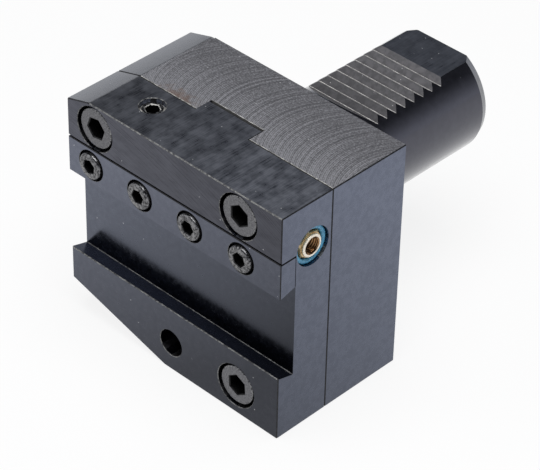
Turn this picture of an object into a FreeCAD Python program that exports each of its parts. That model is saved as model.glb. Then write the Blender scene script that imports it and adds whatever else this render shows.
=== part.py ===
import FreeCAD, Part

import math
import os

# Parting tool holder with a size 40 toothed cylindrical shank.
# A base block carries the shank, a carrier plate slides up and down on the base for the tool height,
# and a clamping jaw on the carrier holds the parting blade in a bevelled seat.
# Frame: origin where the shank axis meets the flange face, +X right seen from the front,
# +Y along the shank away from the blade, +Z up. Millimetres.

Vector = FreeCAD.Vector
X_AXIS = Vector(1, 0, 0)
Y_AXIS = Vector(0, 1, 0)
Z_AXIS = Vector(0, 0, 1)

# Block
block_width = 86.0
block_height = 78.9
shank_to_right_side = 41.2
shank_to_top = 30.4
base_depth = 30.0
carrier_depth = 20.0
edge_break = 0.3
top_chamfer_run = 9.2
top_chamfer_drop = 2.7
foot_taper_run = 39.7
foot_taper_rise = 10.8
flange_relief_width = 10.3
flange_relief_depth = 0.7

# Shank
shank_diameter = 40.0
shank_length = 63.0
shank_lead_length = 2.8
shank_lead_depth = 1.0
tooth_count = 8
tooth_pitch = 4.0
tooth_rise_run = 1.8
tooth_depth = 1.6
flat_above_axis = 16.0
flange_to_first_valley = 18.8
centre_mouth_diameter = 8.0
centre_pilot_diameter = 3.15
centre_pilot_depth = 9.0
shank_seal_groove_start = 2.5
shank_seal_section = 3.0
shank_seal_groove_depth = 2.4
shank_seam_turn = 52.5

# Guide between the base and the carrier
tongue_width = 20.8
tongue_depth = 5.2
tongue_side_clearance = 0.05
tongue_free_side_clearance = 0.25
tongue_back_clearance = 0.5
height_travel = 0.6

# Blade seat and jaw
seat_depth = 6.0
strip_height = 15.45
parting_gap = 0.4
jaw_front_height = 12.25
seat_opening = 28.4
seat_bevel_deg = 15.0
jaw_edge_break = 0.25

# Carrier bolts, M8 socket head cap screws
bolt_thread_diameter = 8.0
bolt_head_diameter = 13.0
bolt_head_height = 8.0
bolt_head_chamfer = 0.5
bolt_socket_flats = 6.0
bolt_socket_depth = 4.2
bolt_length = 30.0
bolt_head_recess = 0.5
bolt_head_clearance = 0.8
bolt_shank_clearance = 0.8
upper_bolt_drop = 8.05
left_bolt_inset = 11.5
right_bolt_inset = 16.7
lower_bolt_rise = 9.9
upper_left_bolt_clocking = -10.0
upper_right_bolt_clocking = 28.0
lower_right_bolt_clocking = 26.0

# Jaw screws, M5 socket head cap screws
clamp_screw_count = 4
clamp_screw_left_inset = 9.55
clamp_screw_right_inset = 15.4
clamp_screw_drop = 6.0
clamp_thread_diameter = 5.0
clamp_head_diameter = 8.6
clamp_head_height = 5.0
clamp_head_chamfer = 0.7
clamp_socket_flats = 4.0
clamp_socket_depth = 2.6
clamp_screw_length = 12.0
clamp_head_stand_out = 0.9
clamp_head_clearance = 0.75
clamp_shank_clearance = 0.3
clamp_first_clocking = -21.0
clamp_clocking_step = 11.0

# Height screw, M8 socket set screw on a fixed stop pin
height_screw_diameter = 8.0
height_screw_length = 12.0
height_screw_recess = 0.9
height_screw_inset = 22.9
height_screw_to_joint = 7.9
height_screw_point_diameter = 5.5
height_screw_point_length = 1.5
height_screw_socket_flats = 4.0
height_screw_socket_depth = 4.5
height_screw_chamfer = 0.8
stop_pin_diameter = 6.0
stop_pin_seat_length = 16.0
stop_pin_end_chamfer = 0.5
stop_pin_overhang = 4.0
stop_pin_pocket_clearance = 0.3

# Coolant path
fitting_to_joint = 7.5
fitting_drop = 15.6
fitting_recess_diameter = 12.7
fitting_recess_depth = 2.4
fitting_hex_flats = 8.0
fitting_hex_clocking = 12.0
fitting_hex_chamfer = 0.5
fitting_hex_top_inset = 1.0
fitting_collar_diameter = 7.3
fitting_face_inset = 0.15
fitting_thread_diameter = 7.0
fitting_thread_length = 4.6
fitting_hose_thread_bore = 5.0
fitting_mouth_chamfer = 0.3
side_seal_thickness = 1.5
side_seal_clearance = 0.1
side_seal_chamfer = 0.4
coolant_bore_inset = 8.5
carrier_coolant_bore = 5.0
gallery_overrun = 1.0
base_coolant_bore = 6.0
face_seal_section = 1.8
face_seal_inner_diameter = 8.4
face_seal_groove_clearance = 0.15

# Plain hole low in the carrier
front_hole_diameter = 9.0
front_hole_inset = 43.5

# Fits
thread_clearance = 0.03
seal_seat_clearance = 0.05
contact_gap = 0.02
overshoot = 2.0

# Datums worked out from the sizes above
right = shank_to_right_side
left = right - block_width
top = shank_to_top
bottom = top - block_height
joint = -base_depth
front = joint - carrier_depth
seat_wall = front + seat_depth
block_centre = (left + right) / 2
shank_radius = shank_diameter / 2
seat_bevel_rise = seat_depth * math.tan(math.radians(seat_bevel_deg))
strip_bottom = top - strip_height
jaw_top = strip_bottom - parting_gap
jaw_lip = jaw_top - jaw_front_height
ledge_lip = jaw_lip - seat_opening
upper_bolt_z = top - upper_bolt_drop
lower_bolt_z = bottom + lower_bolt_rise
clamp_screw_z = jaw_top - clamp_screw_drop
height_screw_x = left + height_screw_inset
height_screw_y = joint - height_screw_to_joint
height_screw_top = top - height_screw_recess
height_screw_tip = height_screw_top - height_screw_length
stop_pin_z = height_screw_tip - contact_gap - stop_pin_diameter / 2
stop_pin_front = height_screw_y - stop_pin_overhang
stop_pin_back = joint + stop_pin_seat_length
fitting_y = joint - fitting_to_joint
fitting_z = top - fitting_drop
fitting_floor = right - fitting_recess_depth
coolant_bore_x = right - coolant_bore_inset
front_hole_x = right - front_hole_inset


def polygon_face(points):
    """Planar face inside the closed outline through the points."""
    return Part.Face(Part.makePolygon(points + [points[0]]))


def prism_along_y(outline, start, length):
    """Extrude an outline of (x, z) pairs from y = start along +Y."""
    return polygon_face([Vector(x, start, z) for x, z in outline]).extrude(Y_AXIS * length)


def prism_along_x(outline, start, length):
    """Extrude an outline of (y, z) pairs from x = start along +X."""
    return polygon_face([Vector(start, y, z) for y, z in outline]).extrude(X_AXIS * length)


def turned(profile, origin, axis):
    """Solid of revolution of (distance along axis, radius) pairs about an axis through the origin.

    The profile starts and ends on the axis.
    """
    across = X_AXIS if abs(axis.x) < 0.5 else Z_AXIS
    points = [origin + axis * along + across * radius for along, radius in profile]
    return polygon_face(points).revolve(origin, axis, 360)


def rod(origin, axis, length, radius):
    """Plain cylinder."""
    return Part.makeCylinder(radius, length, origin, axis)


def ring(origin, axis, length, outer_radius, inner_radius):
    """Plain tube."""
    return rod(origin, axis, length, outer_radius).cut(rod(origin, axis, length, inner_radius))


def blind_hole(mouth, axis, depth, radius):
    """Tool for a flat-bottomed hole, cut from outside the mouth."""
    return rod(mouth - axis * overshoot, axis, depth + overshoot, radius)


def hexagon_prism(origin, axis, depth, across_flats, clocking_deg):
    """Hexagonal prism about an axis, turned by the clocking angle."""
    across = X_AXIS if abs(axis.x) < 0.5 else Z_AXIS
    other = axis.cross(across)
    radius = across_flats / math.sqrt(3)
    points = []
    for corner in range(6):
        angle = math.radians(clocking_deg + 60 * corner)
        points.append(origin + across * (radius * math.cos(angle)) + other * (radius * math.sin(angle)))
    return polygon_face(points).extrude(axis * depth)


def cap_screw(seat, axis, sizes, clocking_deg):
    """Socket head cap screw whose head sits at the seat point and whose thread runs along the axis.

    Sizes are head diameter, head height, edge chamfer, thread diameter, length, socket flats and depth.
    """
    head_diameter, head_height, edge_chamfer, thread_diameter, length, flats, socket_depth = sizes
    head_radius = head_diameter / 2
    thread_radius = thread_diameter / 2
    blank = turned(
        [
            (-head_height, 0),
            (-head_height, head_radius - edge_chamfer),
            (-head_height + edge_chamfer, head_radius),
            (0, head_radius),
            (0, thread_radius),
            (length, thread_radius),
            (length, 0),
        ],
        seat,
        axis,
    )
    socket_mouth = seat - axis * (head_height + overshoot)
    return blank.cut(hexagon_prism(socket_mouth, axis, socket_depth + overshoot, flats, clocking_deg))


def broken_edges(shape, size, wanted):
    """Chamfer the edges that the test function wants."""
    return shape.makeChamfer(size, [edge for edge in shape.Edges if wanted(edge)])


def block_outline():
    """Front view of both blocks: square on the right, chamfered top left, tapered foot at the left."""
    return [
        (left, top - top_chamfer_drop),
        (left + top_chamfer_run, top),
        (right, top),
        (right, bottom),
        (left + foot_taper_run, bottom),
        (left, bottom + foot_taper_rise),
    ]


def block(start, depth):
    """A block of the common outline with all its outer edges broken."""
    return broken_edges(prism_along_y(block_outline(), start, depth), edge_break, lambda edge: True)


def bolt_places():
    """Centres of the carrier bolts on the front, with the clocking of each socket."""
    return [
        (left + left_bolt_inset, upper_bolt_z, upper_left_bolt_clocking),
        (right - right_bolt_inset, upper_bolt_z, upper_right_bolt_clocking),
        (right - right_bolt_inset, lower_bolt_z, lower_right_bolt_clocking),
    ]


def clamp_screw_places():
    """Centres of the jaw screws from left to right, with the clocking of each socket."""
    span = block_width - clamp_screw_left_inset - clamp_screw_right_inset
    pitch = span / (clamp_screw_count - 1)
    places = []
    for index in range(clamp_screw_count):
        x = left + clamp_screw_left_inset + pitch * index
        places.append((x, clamp_screw_z, clamp_first_clocking + clamp_clocking_step * index))
    return places


def shank_blank():
    """Ground cylinder with a seal groove at its root and a lead-in at its end, seam below the teeth."""
    groove_end = shank_seal_groove_start + shank_seal_section
    groove_radius = shank_radius - shank_seal_groove_depth
    blank = turned(
        [
            (-overshoot, 0),
            (-overshoot, shank_radius),
            (shank_seal_groove_start, shank_radius),
            (shank_seal_groove_start, groove_radius),
            (groove_end, groove_radius),
            (groove_end, shank_radius),
            (shank_length - shank_lead_length, shank_radius),
            (shank_length, shank_radius - shank_lead_depth),
            (shank_length, 0),
        ],
        Vector(0, 0, 0),
        Y_AXIS,
    )
    return blank.rotated(Vector(0, 0, 0), Y_AXIS, shank_seam_turn)


def tooth_cutter():
    """Everything above the toothed flat: a row of valleys, then the plain flat to the shank's end."""
    valley_z = flat_above_axis - tooth_depth
    fall_slope = (tooth_pitch - tooth_rise_run) / tooth_depth
    clear_z = shank_radius + overshoot
    run_out = (clear_z - valley_z) * fall_slope
    outline = [(flange_to_first_valley - run_out, clear_z)]
    for index in range(tooth_count):
        valley_y = flange_to_first_valley + tooth_pitch * index
        outline.append((valley_y, valley_z))
        outline.append((valley_y + tooth_rise_run, flat_above_axis))
    outline.append((shank_length + overshoot, flat_above_axis))
    outline.append((shank_length + overshoot, clear_z))
    return prism_along_x(outline, -shank_diameter, 2 * shank_diameter)


def centre_cutter():
    """Lathe centre in the end of the shank."""
    mouth_radius = centre_mouth_diameter / 2
    pilot_radius = centre_pilot_diameter / 2
    cone_depth = (mouth_radius - pilot_radius) / math.tan(math.radians(30))
    return turned(
        [
            (-overshoot, 0),
            (-overshoot, mouth_radius),
            (0, mouth_radius),
            (cone_depth, pilot_radius),
            (centre_pilot_depth, pilot_radius),
            (centre_pilot_depth + pilot_radius, 0),
        ],
        Vector(0, shank_length, 0),
        -Y_AXIS,
    )


def make_base_body():
    """Base block and shank in one piece, with the guide groove, tapped holes and coolant channel."""
    body = block(joint, base_depth)
    relief_outline = [
        (left - overshoot, bottom - overshoot),
        (left + flange_relief_width, bottom - overshoot),
        (left + flange_relief_width, top + overshoot),
        (left - overshoot, top + overshoot),
    ]
    body = body.cut(prism_along_y(relief_outline, -flange_relief_depth, flange_relief_depth + overshoot))
    body = body.fuse(shank_blank().cut(tooth_cutter()).cut(centre_cutter()))
    groove_left = block_centre - tongue_width / 2 - tongue_side_clearance
    groove_right = block_centre + tongue_width / 2 + tongue_free_side_clearance
    groove_outline = [
        (groove_left, bottom - overshoot),
        (groove_right, bottom - overshoot),
        (groove_right, top + overshoot),
        (groove_left, top + overshoot),
    ]
    groove_depth = tongue_depth + tongue_back_clearance
    cuts = [prism_along_y(groove_outline, joint - overshoot, groove_depth + overshoot)]
    tapped_depth = bolt_seat_y() + bolt_length + bolt_thread_diameter / 4 - joint
    for x, z, _ in bolt_places():
        tapped_radius = bolt_thread_diameter / 2 + thread_clearance
        cuts.append(blind_hole(Vector(x, joint, z), Y_AXIS, tapped_depth, tapped_radius))
    pin_mouth = Vector(height_screw_x, joint, stop_pin_z)
    cuts.append(blind_hole(pin_mouth, Y_AXIS, stop_pin_seat_length, stop_pin_diameter / 2))
    channel_start = Vector(coolant_bore_x, joint - overshoot, fitting_z)
    cuts.append(rod(channel_start, Y_AXIS, base_depth + 2 * overshoot, base_coolant_bore / 2))
    cuts.append(ring(channel_start, Y_AXIS, overshoot + face_seal_section, *face_seal_groove_radii()))
    for cut in cuts:
        body = body.cut(cut)
    return body.removeSplitter()


def make_shank_seal():
    """Rubber ring in the groove at the root of the shank, drawn squeezed flush as in its socket."""
    outer = shank_radius - seal_seat_clearance
    inner = shank_radius - shank_seal_groove_depth
    start = shank_seal_groove_start + seal_seat_clearance
    width = shank_seal_section - 2 * seal_seat_clearance
    return ring(Vector(0, start, 0), Y_AXIS, width, outer, inner)


def face_seal_groove_radii():
    """Outer and inner radius of the seal groove round the coolant channel."""
    inner = face_seal_inner_diameter / 2
    outer = inner + face_seal_section + face_seal_groove_clearance
    return outer, inner


def make_face_seal():
    """Rubber ring round the coolant channel between the base and the carrier."""
    outer, inner = face_seal_groove_radii()
    start = Vector(coolant_bore_x, joint + seal_seat_clearance, fitting_z)
    width = face_seal_section - seal_seat_clearance
    return ring(start, Y_AXIS, width, outer - face_seal_groove_clearance, inner)


def make_stop_pin():
    """Dowel pressed into the base; its free end carries the tip of the height screw."""
    radius = stop_pin_diameter / 2
    start = Vector(height_screw_x, stop_pin_front, stop_pin_z)
    length = stop_pin_back - stop_pin_front
    profile = [(0, 0), (0, radius - stop_pin_end_chamfer), (stop_pin_end_chamfer, radius), (length, radius)]
    return turned(profile + [(length, 0)], start, Y_AXIS)


def bolt_seat_y():
    """Where the carrier bolts' heads bear on the carrier."""
    return front + bolt_head_recess + bolt_head_height


def clamp_seat_y():
    """Where the jaw screws' heads bear on the jaw."""
    return front - clamp_head_stand_out + clamp_head_height


def make_carrier():
    """Carrier plate with the guide tongue, blade seat, counterbores and coolant outlet."""
    plate = block(front, carrier_depth)
    ledge_back = ledge_lip - seat_bevel_rise
    seat_outline = [
        (front - overshoot, strip_bottom),
        (seat_wall, strip_bottom),
        (seat_wall, ledge_back),
        (front, ledge_lip),
        (front - overshoot, ledge_lip),
    ]
    plate = plate.cut(prism_along_x(seat_outline, left - overshoot, block_width + 2 * overshoot))

    def on_front_lip(edge):
        """The long front edges above and below the seat opening."""
        if edge.Length < block_width / 2:
            return False
        middle = edge.CenterOfMass
        heights = (strip_bottom, ledge_lip)
        return abs(middle.y - front) < 1e-6 and any(abs(middle.z - z) < 1e-6 for z in heights)

    plate = broken_edges(plate, edge_break, on_front_lip)
    tongue_left = block_centre - tongue_width / 2
    tongue_outline = [
        (tongue_left, bottom),
        (tongue_left + tongue_width, bottom),
        (tongue_left + tongue_width, top),
        (tongue_left, top),
    ]
    foot_slope_end = left + foot_taper_run
    if tongue_left < foot_slope_end:
        rise = foot_taper_rise * (foot_slope_end - tongue_left) / foot_taper_run
        tongue_outline[0:1] = [(tongue_left, bottom + rise), (foot_slope_end, bottom)]
    tongue = prism_along_y(tongue_outline, joint - carrier_depth / 2, carrier_depth / 2 + tongue_depth)
    plate = plate.fuse(tongue)
    cuts = []
    for x, z, _ in bolt_places():
        mouth = Vector(x, front - overshoot, z)
        head_radius = bolt_head_diameter / 2 + bolt_head_clearance
        shank_hole = bolt_thread_diameter / 2 + bolt_shank_clearance
        cuts.append(rod(mouth, Y_AXIS, bolt_seat_y() - front + overshoot, head_radius))
        cuts.append(rod(mouth, Y_AXIS, carrier_depth + 2 * overshoot, shank_hole))
    tapped_depth = clamp_seat_y() + clamp_screw_length + clamp_thread_diameter / 4 - seat_wall
    for x, z, _ in clamp_screw_places():
        mouth = Vector(x, seat_wall, z)
        cuts.append(blind_hole(mouth, Y_AXIS, tapped_depth, clamp_thread_diameter / 2 + thread_clearance))
    cuts.extend(height_screw_cutters())
    cuts.extend(coolant_cutters())
    hole_mouth = Vector(front_hole_x, front - overshoot, lower_bolt_z)
    cuts.append(rod(hole_mouth, Y_AXIS, carrier_depth + tongue_depth + 2 * overshoot, front_hole_diameter / 2))
    for cut in cuts:
        plate = plate.cut(cut)
    return plate.removeSplitter()


def height_screw_cutters():
    """Tapped hole for the height screw, and the pocket in which the stop pin stands."""
    mouth = Vector(height_screw_x, height_screw_y, top)
    hole_radius = height_screw_diameter / 2 + thread_clearance
    pocket_front = stop_pin_front - stop_pin_pocket_clearance
    half_width = stop_pin_diameter / 2 + stop_pin_pocket_clearance
    pocket_top = stop_pin_z + stop_pin_diameter / 2 + height_travel + stop_pin_pocket_clearance
    pocket_bottom = stop_pin_z - stop_pin_diameter / 2 - height_travel - stop_pin_pocket_clearance
    pocket_outline = [
        (height_screw_x - half_width, pocket_bottom),
        (height_screw_x + half_width, pocket_bottom),
        (height_screw_x + half_width, pocket_top),
        (height_screw_x - half_width, pocket_top),
    ]
    hole = blind_hole(mouth, -Z_AXIS, top - pocket_bottom, hole_radius)
    pocket = prism_along_y(pocket_outline, pocket_front, joint - pocket_front + overshoot)
    return [hole, pocket]


def coolant_cutters():
    """Recess and thread for the outlet fitting, and the channel that feeds it from the base."""
    side_mouth = Vector(right, fitting_y, fitting_z)
    recess = blind_hole(side_mouth, -X_AXIS, fitting_recess_depth, fitting_recess_diameter / 2)
    gallery_depth = coolant_bore_inset + carrier_coolant_bore / 2 + gallery_overrun
    gallery = blind_hole(side_mouth, -X_AXIS, gallery_depth, fitting_thread_diameter / 2 + thread_clearance)
    feed_mouth = Vector(coolant_bore_x, joint, fitting_z)
    feed = blind_hole(feed_mouth, -Y_AXIS, fitting_to_joint, carrier_coolant_bore / 2)
    return [recess, gallery, feed]


def make_clamp_jaw():
    """Clamping jaw: a bar whose lower face hooks over the bevelled top edge of the blade."""
    outline = [
        (front, jaw_top),
        (seat_wall, jaw_top),
        (seat_wall, jaw_lip + seat_bevel_rise),
        (front, jaw_lip),
    ]
    jaw = broken_edges(prism_along_x(outline, left, block_width), jaw_edge_break, lambda edge: True)
    for x, z, _ in clamp_screw_places():
        mouth = Vector(x, front - overshoot, z)
        head_radius = clamp_head_diameter / 2 + clamp_head_clearance
        jaw = jaw.cut(rod(mouth, Y_AXIS, clamp_seat_y() - front + overshoot, head_radius))
        shank_hole = clamp_thread_diameter / 2 + clamp_shank_clearance
        jaw = jaw.cut(rod(mouth, Y_AXIS, seat_depth + 2 * overshoot, shank_hole))
    return jaw


def make_height_screw():
    """Set screw with a short dog point that stands on the stop pin."""
    radius = height_screw_diameter / 2
    point_radius = height_screw_point_diameter / 2
    origin = Vector(height_screw_x, height_screw_y, height_screw_top)
    shoulder = height_screw_length - height_screw_point_length
    blank = turned(
        [
            (0, 0),
            (0, radius - height_screw_chamfer),
            (height_screw_chamfer, radius),
            (shoulder, radius),
            (shoulder, point_radius),
            (height_screw_length, point_radius),
            (height_screw_length, 0),
        ],
        origin,
        -Z_AXIS,
    )
    mouth = origin + Z_AXIS * overshoot
    depth = height_screw_socket_depth + overshoot
    return blank.cut(hexagon_prism(mouth, -Z_AXIS, depth, height_screw_socket_flats, 0))


def make_coolant_fitting():
    """Brass outlet fitting: threaded stem, hexagon and collar round a hose thread."""
    origin = Vector(fitting_floor, fitting_y, fitting_z)
    collar_end = fitting_recess_depth - fitting_face_inset
    hex_height = fitting_recess_depth - fitting_hex_top_inset
    corner_radius = fitting_hex_flats / math.sqrt(3)
    hexagon = hexagon_prism(origin, X_AXIS, hex_height, fitting_hex_flats, fitting_hex_clocking)
    turning = turned(
        [
            (0, 0),
            (0, corner_radius),
            (hex_height - fitting_hex_chamfer, corner_radius),
            (hex_height, fitting_hex_flats / 2),
            (hex_height, 0),
        ],
        origin,
        X_AXIS,
    )
    stem = rod(origin, -X_AXIS, fitting_thread_length, fitting_thread_diameter / 2)
    collar = rod(origin, X_AXIS, collar_end, fitting_collar_diameter / 2)
    solid = hexagon.common(turning).fuse(stem).fuse(collar).removeSplitter()
    mouth = origin + X_AXIS * collar_end
    bore_radius = fitting_hose_thread_bore / 2
    bore_length = collar_end + fitting_thread_length
    bore = turned(
        [
            (-overshoot, 0),
            (-overshoot, bore_radius + fitting_mouth_chamfer),
            (0, bore_radius + fitting_mouth_chamfer),
            (fitting_mouth_chamfer, bore_radius),
            (bore_length + overshoot, bore_radius),
            (bore_length + overshoot, 0),
        ],
        mouth,
        -X_AXIS,
    )
    return solid.cut(bore)


def make_fitting_seal():
    """Blue sealing ring round the hexagon of the outlet fitting, on the floor of the recess."""
    outer = fitting_recess_diameter / 2 - side_seal_clearance
    inner = fitting_hex_flats / math.sqrt(3) + side_seal_clearance
    origin = Vector(fitting_floor, fitting_y, fitting_z)
    blank = turned(
        [
            (0, 0),
            (0, outer),
            (side_seal_thickness - side_seal_chamfer, outer),
            (side_seal_thickness, outer - side_seal_chamfer),
            (side_seal_thickness, 0),
        ],
        origin,
        X_AXIS,
    )
    return blank.cut(rod(origin, X_AXIS, side_seal_thickness, inner))


def make_carrier_bolt(place):
    """One of the bolts that hold the carrier to the base."""
    x, z, clocking = place
    sizes = (
        bolt_head_diameter,
        bolt_head_height,
        bolt_head_chamfer,
        bolt_thread_diameter,
        bolt_length,
        bolt_socket_flats,
        bolt_socket_depth,
    )
    return cap_screw(Vector(x, bolt_seat_y(), z), Y_AXIS, sizes, clocking)


def make_clamp_screw(place):
    """One of the screws that draw the jaw into the carrier."""
    x, z, clocking = place
    sizes = (
        clamp_head_diameter,
        clamp_head_height,
        clamp_head_chamfer,
        clamp_thread_diameter,
        clamp_screw_length,
        clamp_socket_flats,
        clamp_socket_depth,
    )
    return cap_screw(Vector(x, clamp_seat_y(), z), Y_AXIS, sizes, clocking)


parts = {
    "base_body": make_base_body(),
    "shank_seal_ring": make_shank_seal(),
    "coolant_face_seal": make_face_seal(),
    "height_stop_pin": make_stop_pin(),
    "carrier": make_carrier(),
    "clamp_jaw": make_clamp_jaw(),
    "height_screw": make_height_screw(),
    "coolant_fitting": make_coolant_fitting(),
    "fitting_seal_ring": make_fitting_seal(),
}
bolt_names = ("carrier_bolt_upper_left", "carrier_bolt_upper_right", "carrier_bolt_lower_right")
for bolt_name, bolt_place in zip(bolt_names, bolt_places()):
    parts[bolt_name] = make_carrier_bolt(bolt_place)
for number, screw_place in enumerate(clamp_screw_places(), start=1):
    parts[f"clamp_screw_{number}"] = make_clamp_screw(screw_place)

os.makedirs("parts", exist_ok=True)
for node, shape in parts.items():
    solid = shape.Solids[0] if len(shape.Solids) == 1 else shape
    print(f"{node}: valid {solid.isValid()}, solids {len(shape.Solids)}, volume {solid.Volume / 1000:.3f} cm3")
    solid.exportStep(f"parts/{node}.step")
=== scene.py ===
import logging
import math
from dataclasses import dataclass
from enum import Enum

import bmesh
import bpy
from mathutils import Matrix, Vector


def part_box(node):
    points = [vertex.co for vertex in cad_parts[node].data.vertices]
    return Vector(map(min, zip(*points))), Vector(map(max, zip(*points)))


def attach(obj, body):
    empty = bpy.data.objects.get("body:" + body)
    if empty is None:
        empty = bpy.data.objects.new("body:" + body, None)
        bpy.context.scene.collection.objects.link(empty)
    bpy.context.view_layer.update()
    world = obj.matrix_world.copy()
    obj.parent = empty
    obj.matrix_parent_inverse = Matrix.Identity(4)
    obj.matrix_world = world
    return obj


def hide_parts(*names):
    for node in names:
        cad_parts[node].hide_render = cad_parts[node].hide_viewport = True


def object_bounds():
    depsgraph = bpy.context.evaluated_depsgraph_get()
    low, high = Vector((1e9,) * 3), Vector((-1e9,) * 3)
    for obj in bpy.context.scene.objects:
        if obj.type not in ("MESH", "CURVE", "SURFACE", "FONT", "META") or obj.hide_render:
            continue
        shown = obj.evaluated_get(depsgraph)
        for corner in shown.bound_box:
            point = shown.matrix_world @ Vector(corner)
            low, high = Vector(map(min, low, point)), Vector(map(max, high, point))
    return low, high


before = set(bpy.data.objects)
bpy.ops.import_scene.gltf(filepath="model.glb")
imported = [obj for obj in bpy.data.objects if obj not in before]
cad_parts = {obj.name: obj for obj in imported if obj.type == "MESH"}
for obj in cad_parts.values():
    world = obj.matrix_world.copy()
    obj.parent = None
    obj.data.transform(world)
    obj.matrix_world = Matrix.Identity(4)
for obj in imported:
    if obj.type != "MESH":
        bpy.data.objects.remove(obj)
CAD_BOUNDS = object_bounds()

MM = 0.001
LOG = logging.getLogger("parting_holder")

# Distances in metres within which two points are one, and a point lies on a plane.
MERGED = 1e-7
ON_PLANE = 1e-6
# Least part of a normal along an axis at which a face counts as square to it.
SQUARE = 0.99
# Depth of a thread as a share of its pitch, and the rings that each of its turns gets.
THREAD_DEPTH = 0.54
RINGS_PER_TURN = 8

Colour = tuple[float, float, float]
Axes = tuple[float, float, float]
Socket = bpy.types.NodeSocket


class Finish(Enum):
    """Every finish on the holder, with the name of its material."""

    GROUND_SIDE = "ground_side"
    SHADED_FRONT_FACE = "ground_front_painted_shade"
    SHADED_SEAT_WALL = "seat_wall_painted_shade"
    BASE_TOP = "face_milled_top"
    CARRIER_TOP = "rubbed_top"
    FRONT_STRIP = "fly_cut_front"
    LIT_TOP_CHAMFER = "ground_chamfer_painted_highlight"
    WORN_EDGE_WITH_GLINT = "worn_edge_with_painted_glint"
    PAINTED_GLINT_EDGE = "glint_painted_edge"
    JOINT_GLINT_AND_SHADE = "joint_edge_with_painted_glint_and_shade"
    PAINTED_SHADE_EDGE = "shade_painted_edge"
    TURNED_SHANK = "turned_shank"
    LIT_LEAD_IN = "turned_lead_in_painted_highlight"
    SHANK_FLAT = "shank_flat"
    TOOTH_FLANK = "tooth_flank"
    TOOTH_ROOT_GLINT = "tooth_root_painted_glint"
    SCREW_FACE = "screw_face"
    SCREW_RIM = "screw_rim"
    SHADED_SCREW_SOCKET = "screw_socket_painted_shade"
    SCREW_THREAD = "screw_thread"
    GROUND_PIN = "ground_pin"
    BRASS = "turned_brass"
    LIT_BRASS_FACE = "brass_face_painted_highlight"
    SHADED_BRASS_BORE = "brass_bore_painted_shade"
    BLUE_RUBBER = "blue_rubber"
    BLACK_RUBBER = "black_rubber"


@dataclass(frozen=True)
class Fade:
    """Painted shade: steady darkening from a point on, standing in for how the light falls across a face, as
    a share per millimetre along X, Y and Z.
    """

    per_mm: Axes
    start_mm: Axes
    most: float = 0.75


class Graph:
    """Short ways to add and join nodes in a shader or geometry tree."""

    def __init__(self, tree: bpy.types.NodeTree) -> None:
        """Keep the tree that the nodes go into.

        Args:
            tree: the node tree to fill.
        """
        self.tree = tree

    def feed(self, socket: Socket, value: object) -> None:
        """Link a socket to another one, or set its own value.

        Args:
            socket: the input to fill.
            value: an output socket to link from, or a plain value.
        """
        if isinstance(value, bpy.types.NodeSocket):
            self.tree.links.new(value, socket)
        else:
            socket.default_value = value

    def add(self, kind: str, inputs: dict | None = None, **settings: object) -> bpy.types.Node:
        """Add a node.

        Args:
            kind: Blender's type name of the node.
            inputs: input names or numbers with their values or source sockets.
            settings: properties to set on the node before its inputs.

        Returns:
            The new node.
        """
        node = self.tree.nodes.new(kind)
        for name, value in settings.items():
            setattr(node, name, value)
        for key, value in (inputs or {}).items():
            self.feed(node.inputs[key], value)
        return node

    def math(self, operation: str, a: object, b: object = 0.0, c: object = 0.0) -> Socket:
        """Result of a Math node.

        Args:
            operation: the node's operation.
            a: first value or socket.
            b: second value or socket.
            c: third value or socket.

        Returns:
            The node's output.
        """
        return self.add("ShaderNodeMath", {0: a, 1: b, 2: c}, operation=operation).outputs[0]

    def products(self, a: object, b: object, c: object, d: object) -> Socket:
        """The product of the first two values plus the product of the last two."""
        return self.math("MULTIPLY_ADD", a, b, self.math("MULTIPLY", c, d))

    def axes(self, vector: Socket) -> bpy.types.NodeOutputs:
        """X, Y and Z of a vector socket."""
        return self.add("ShaderNodeSeparateXYZ", {0: vector}).outputs

    def vector(self, x: object = 0.0, y: object = 0.0, z: object = 0.0) -> Socket:
        """Vector of three values or sockets."""
        return self.add("ShaderNodeCombineXYZ", {"X": x, "Y": y, "Z": z}).outputs[0]


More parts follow.
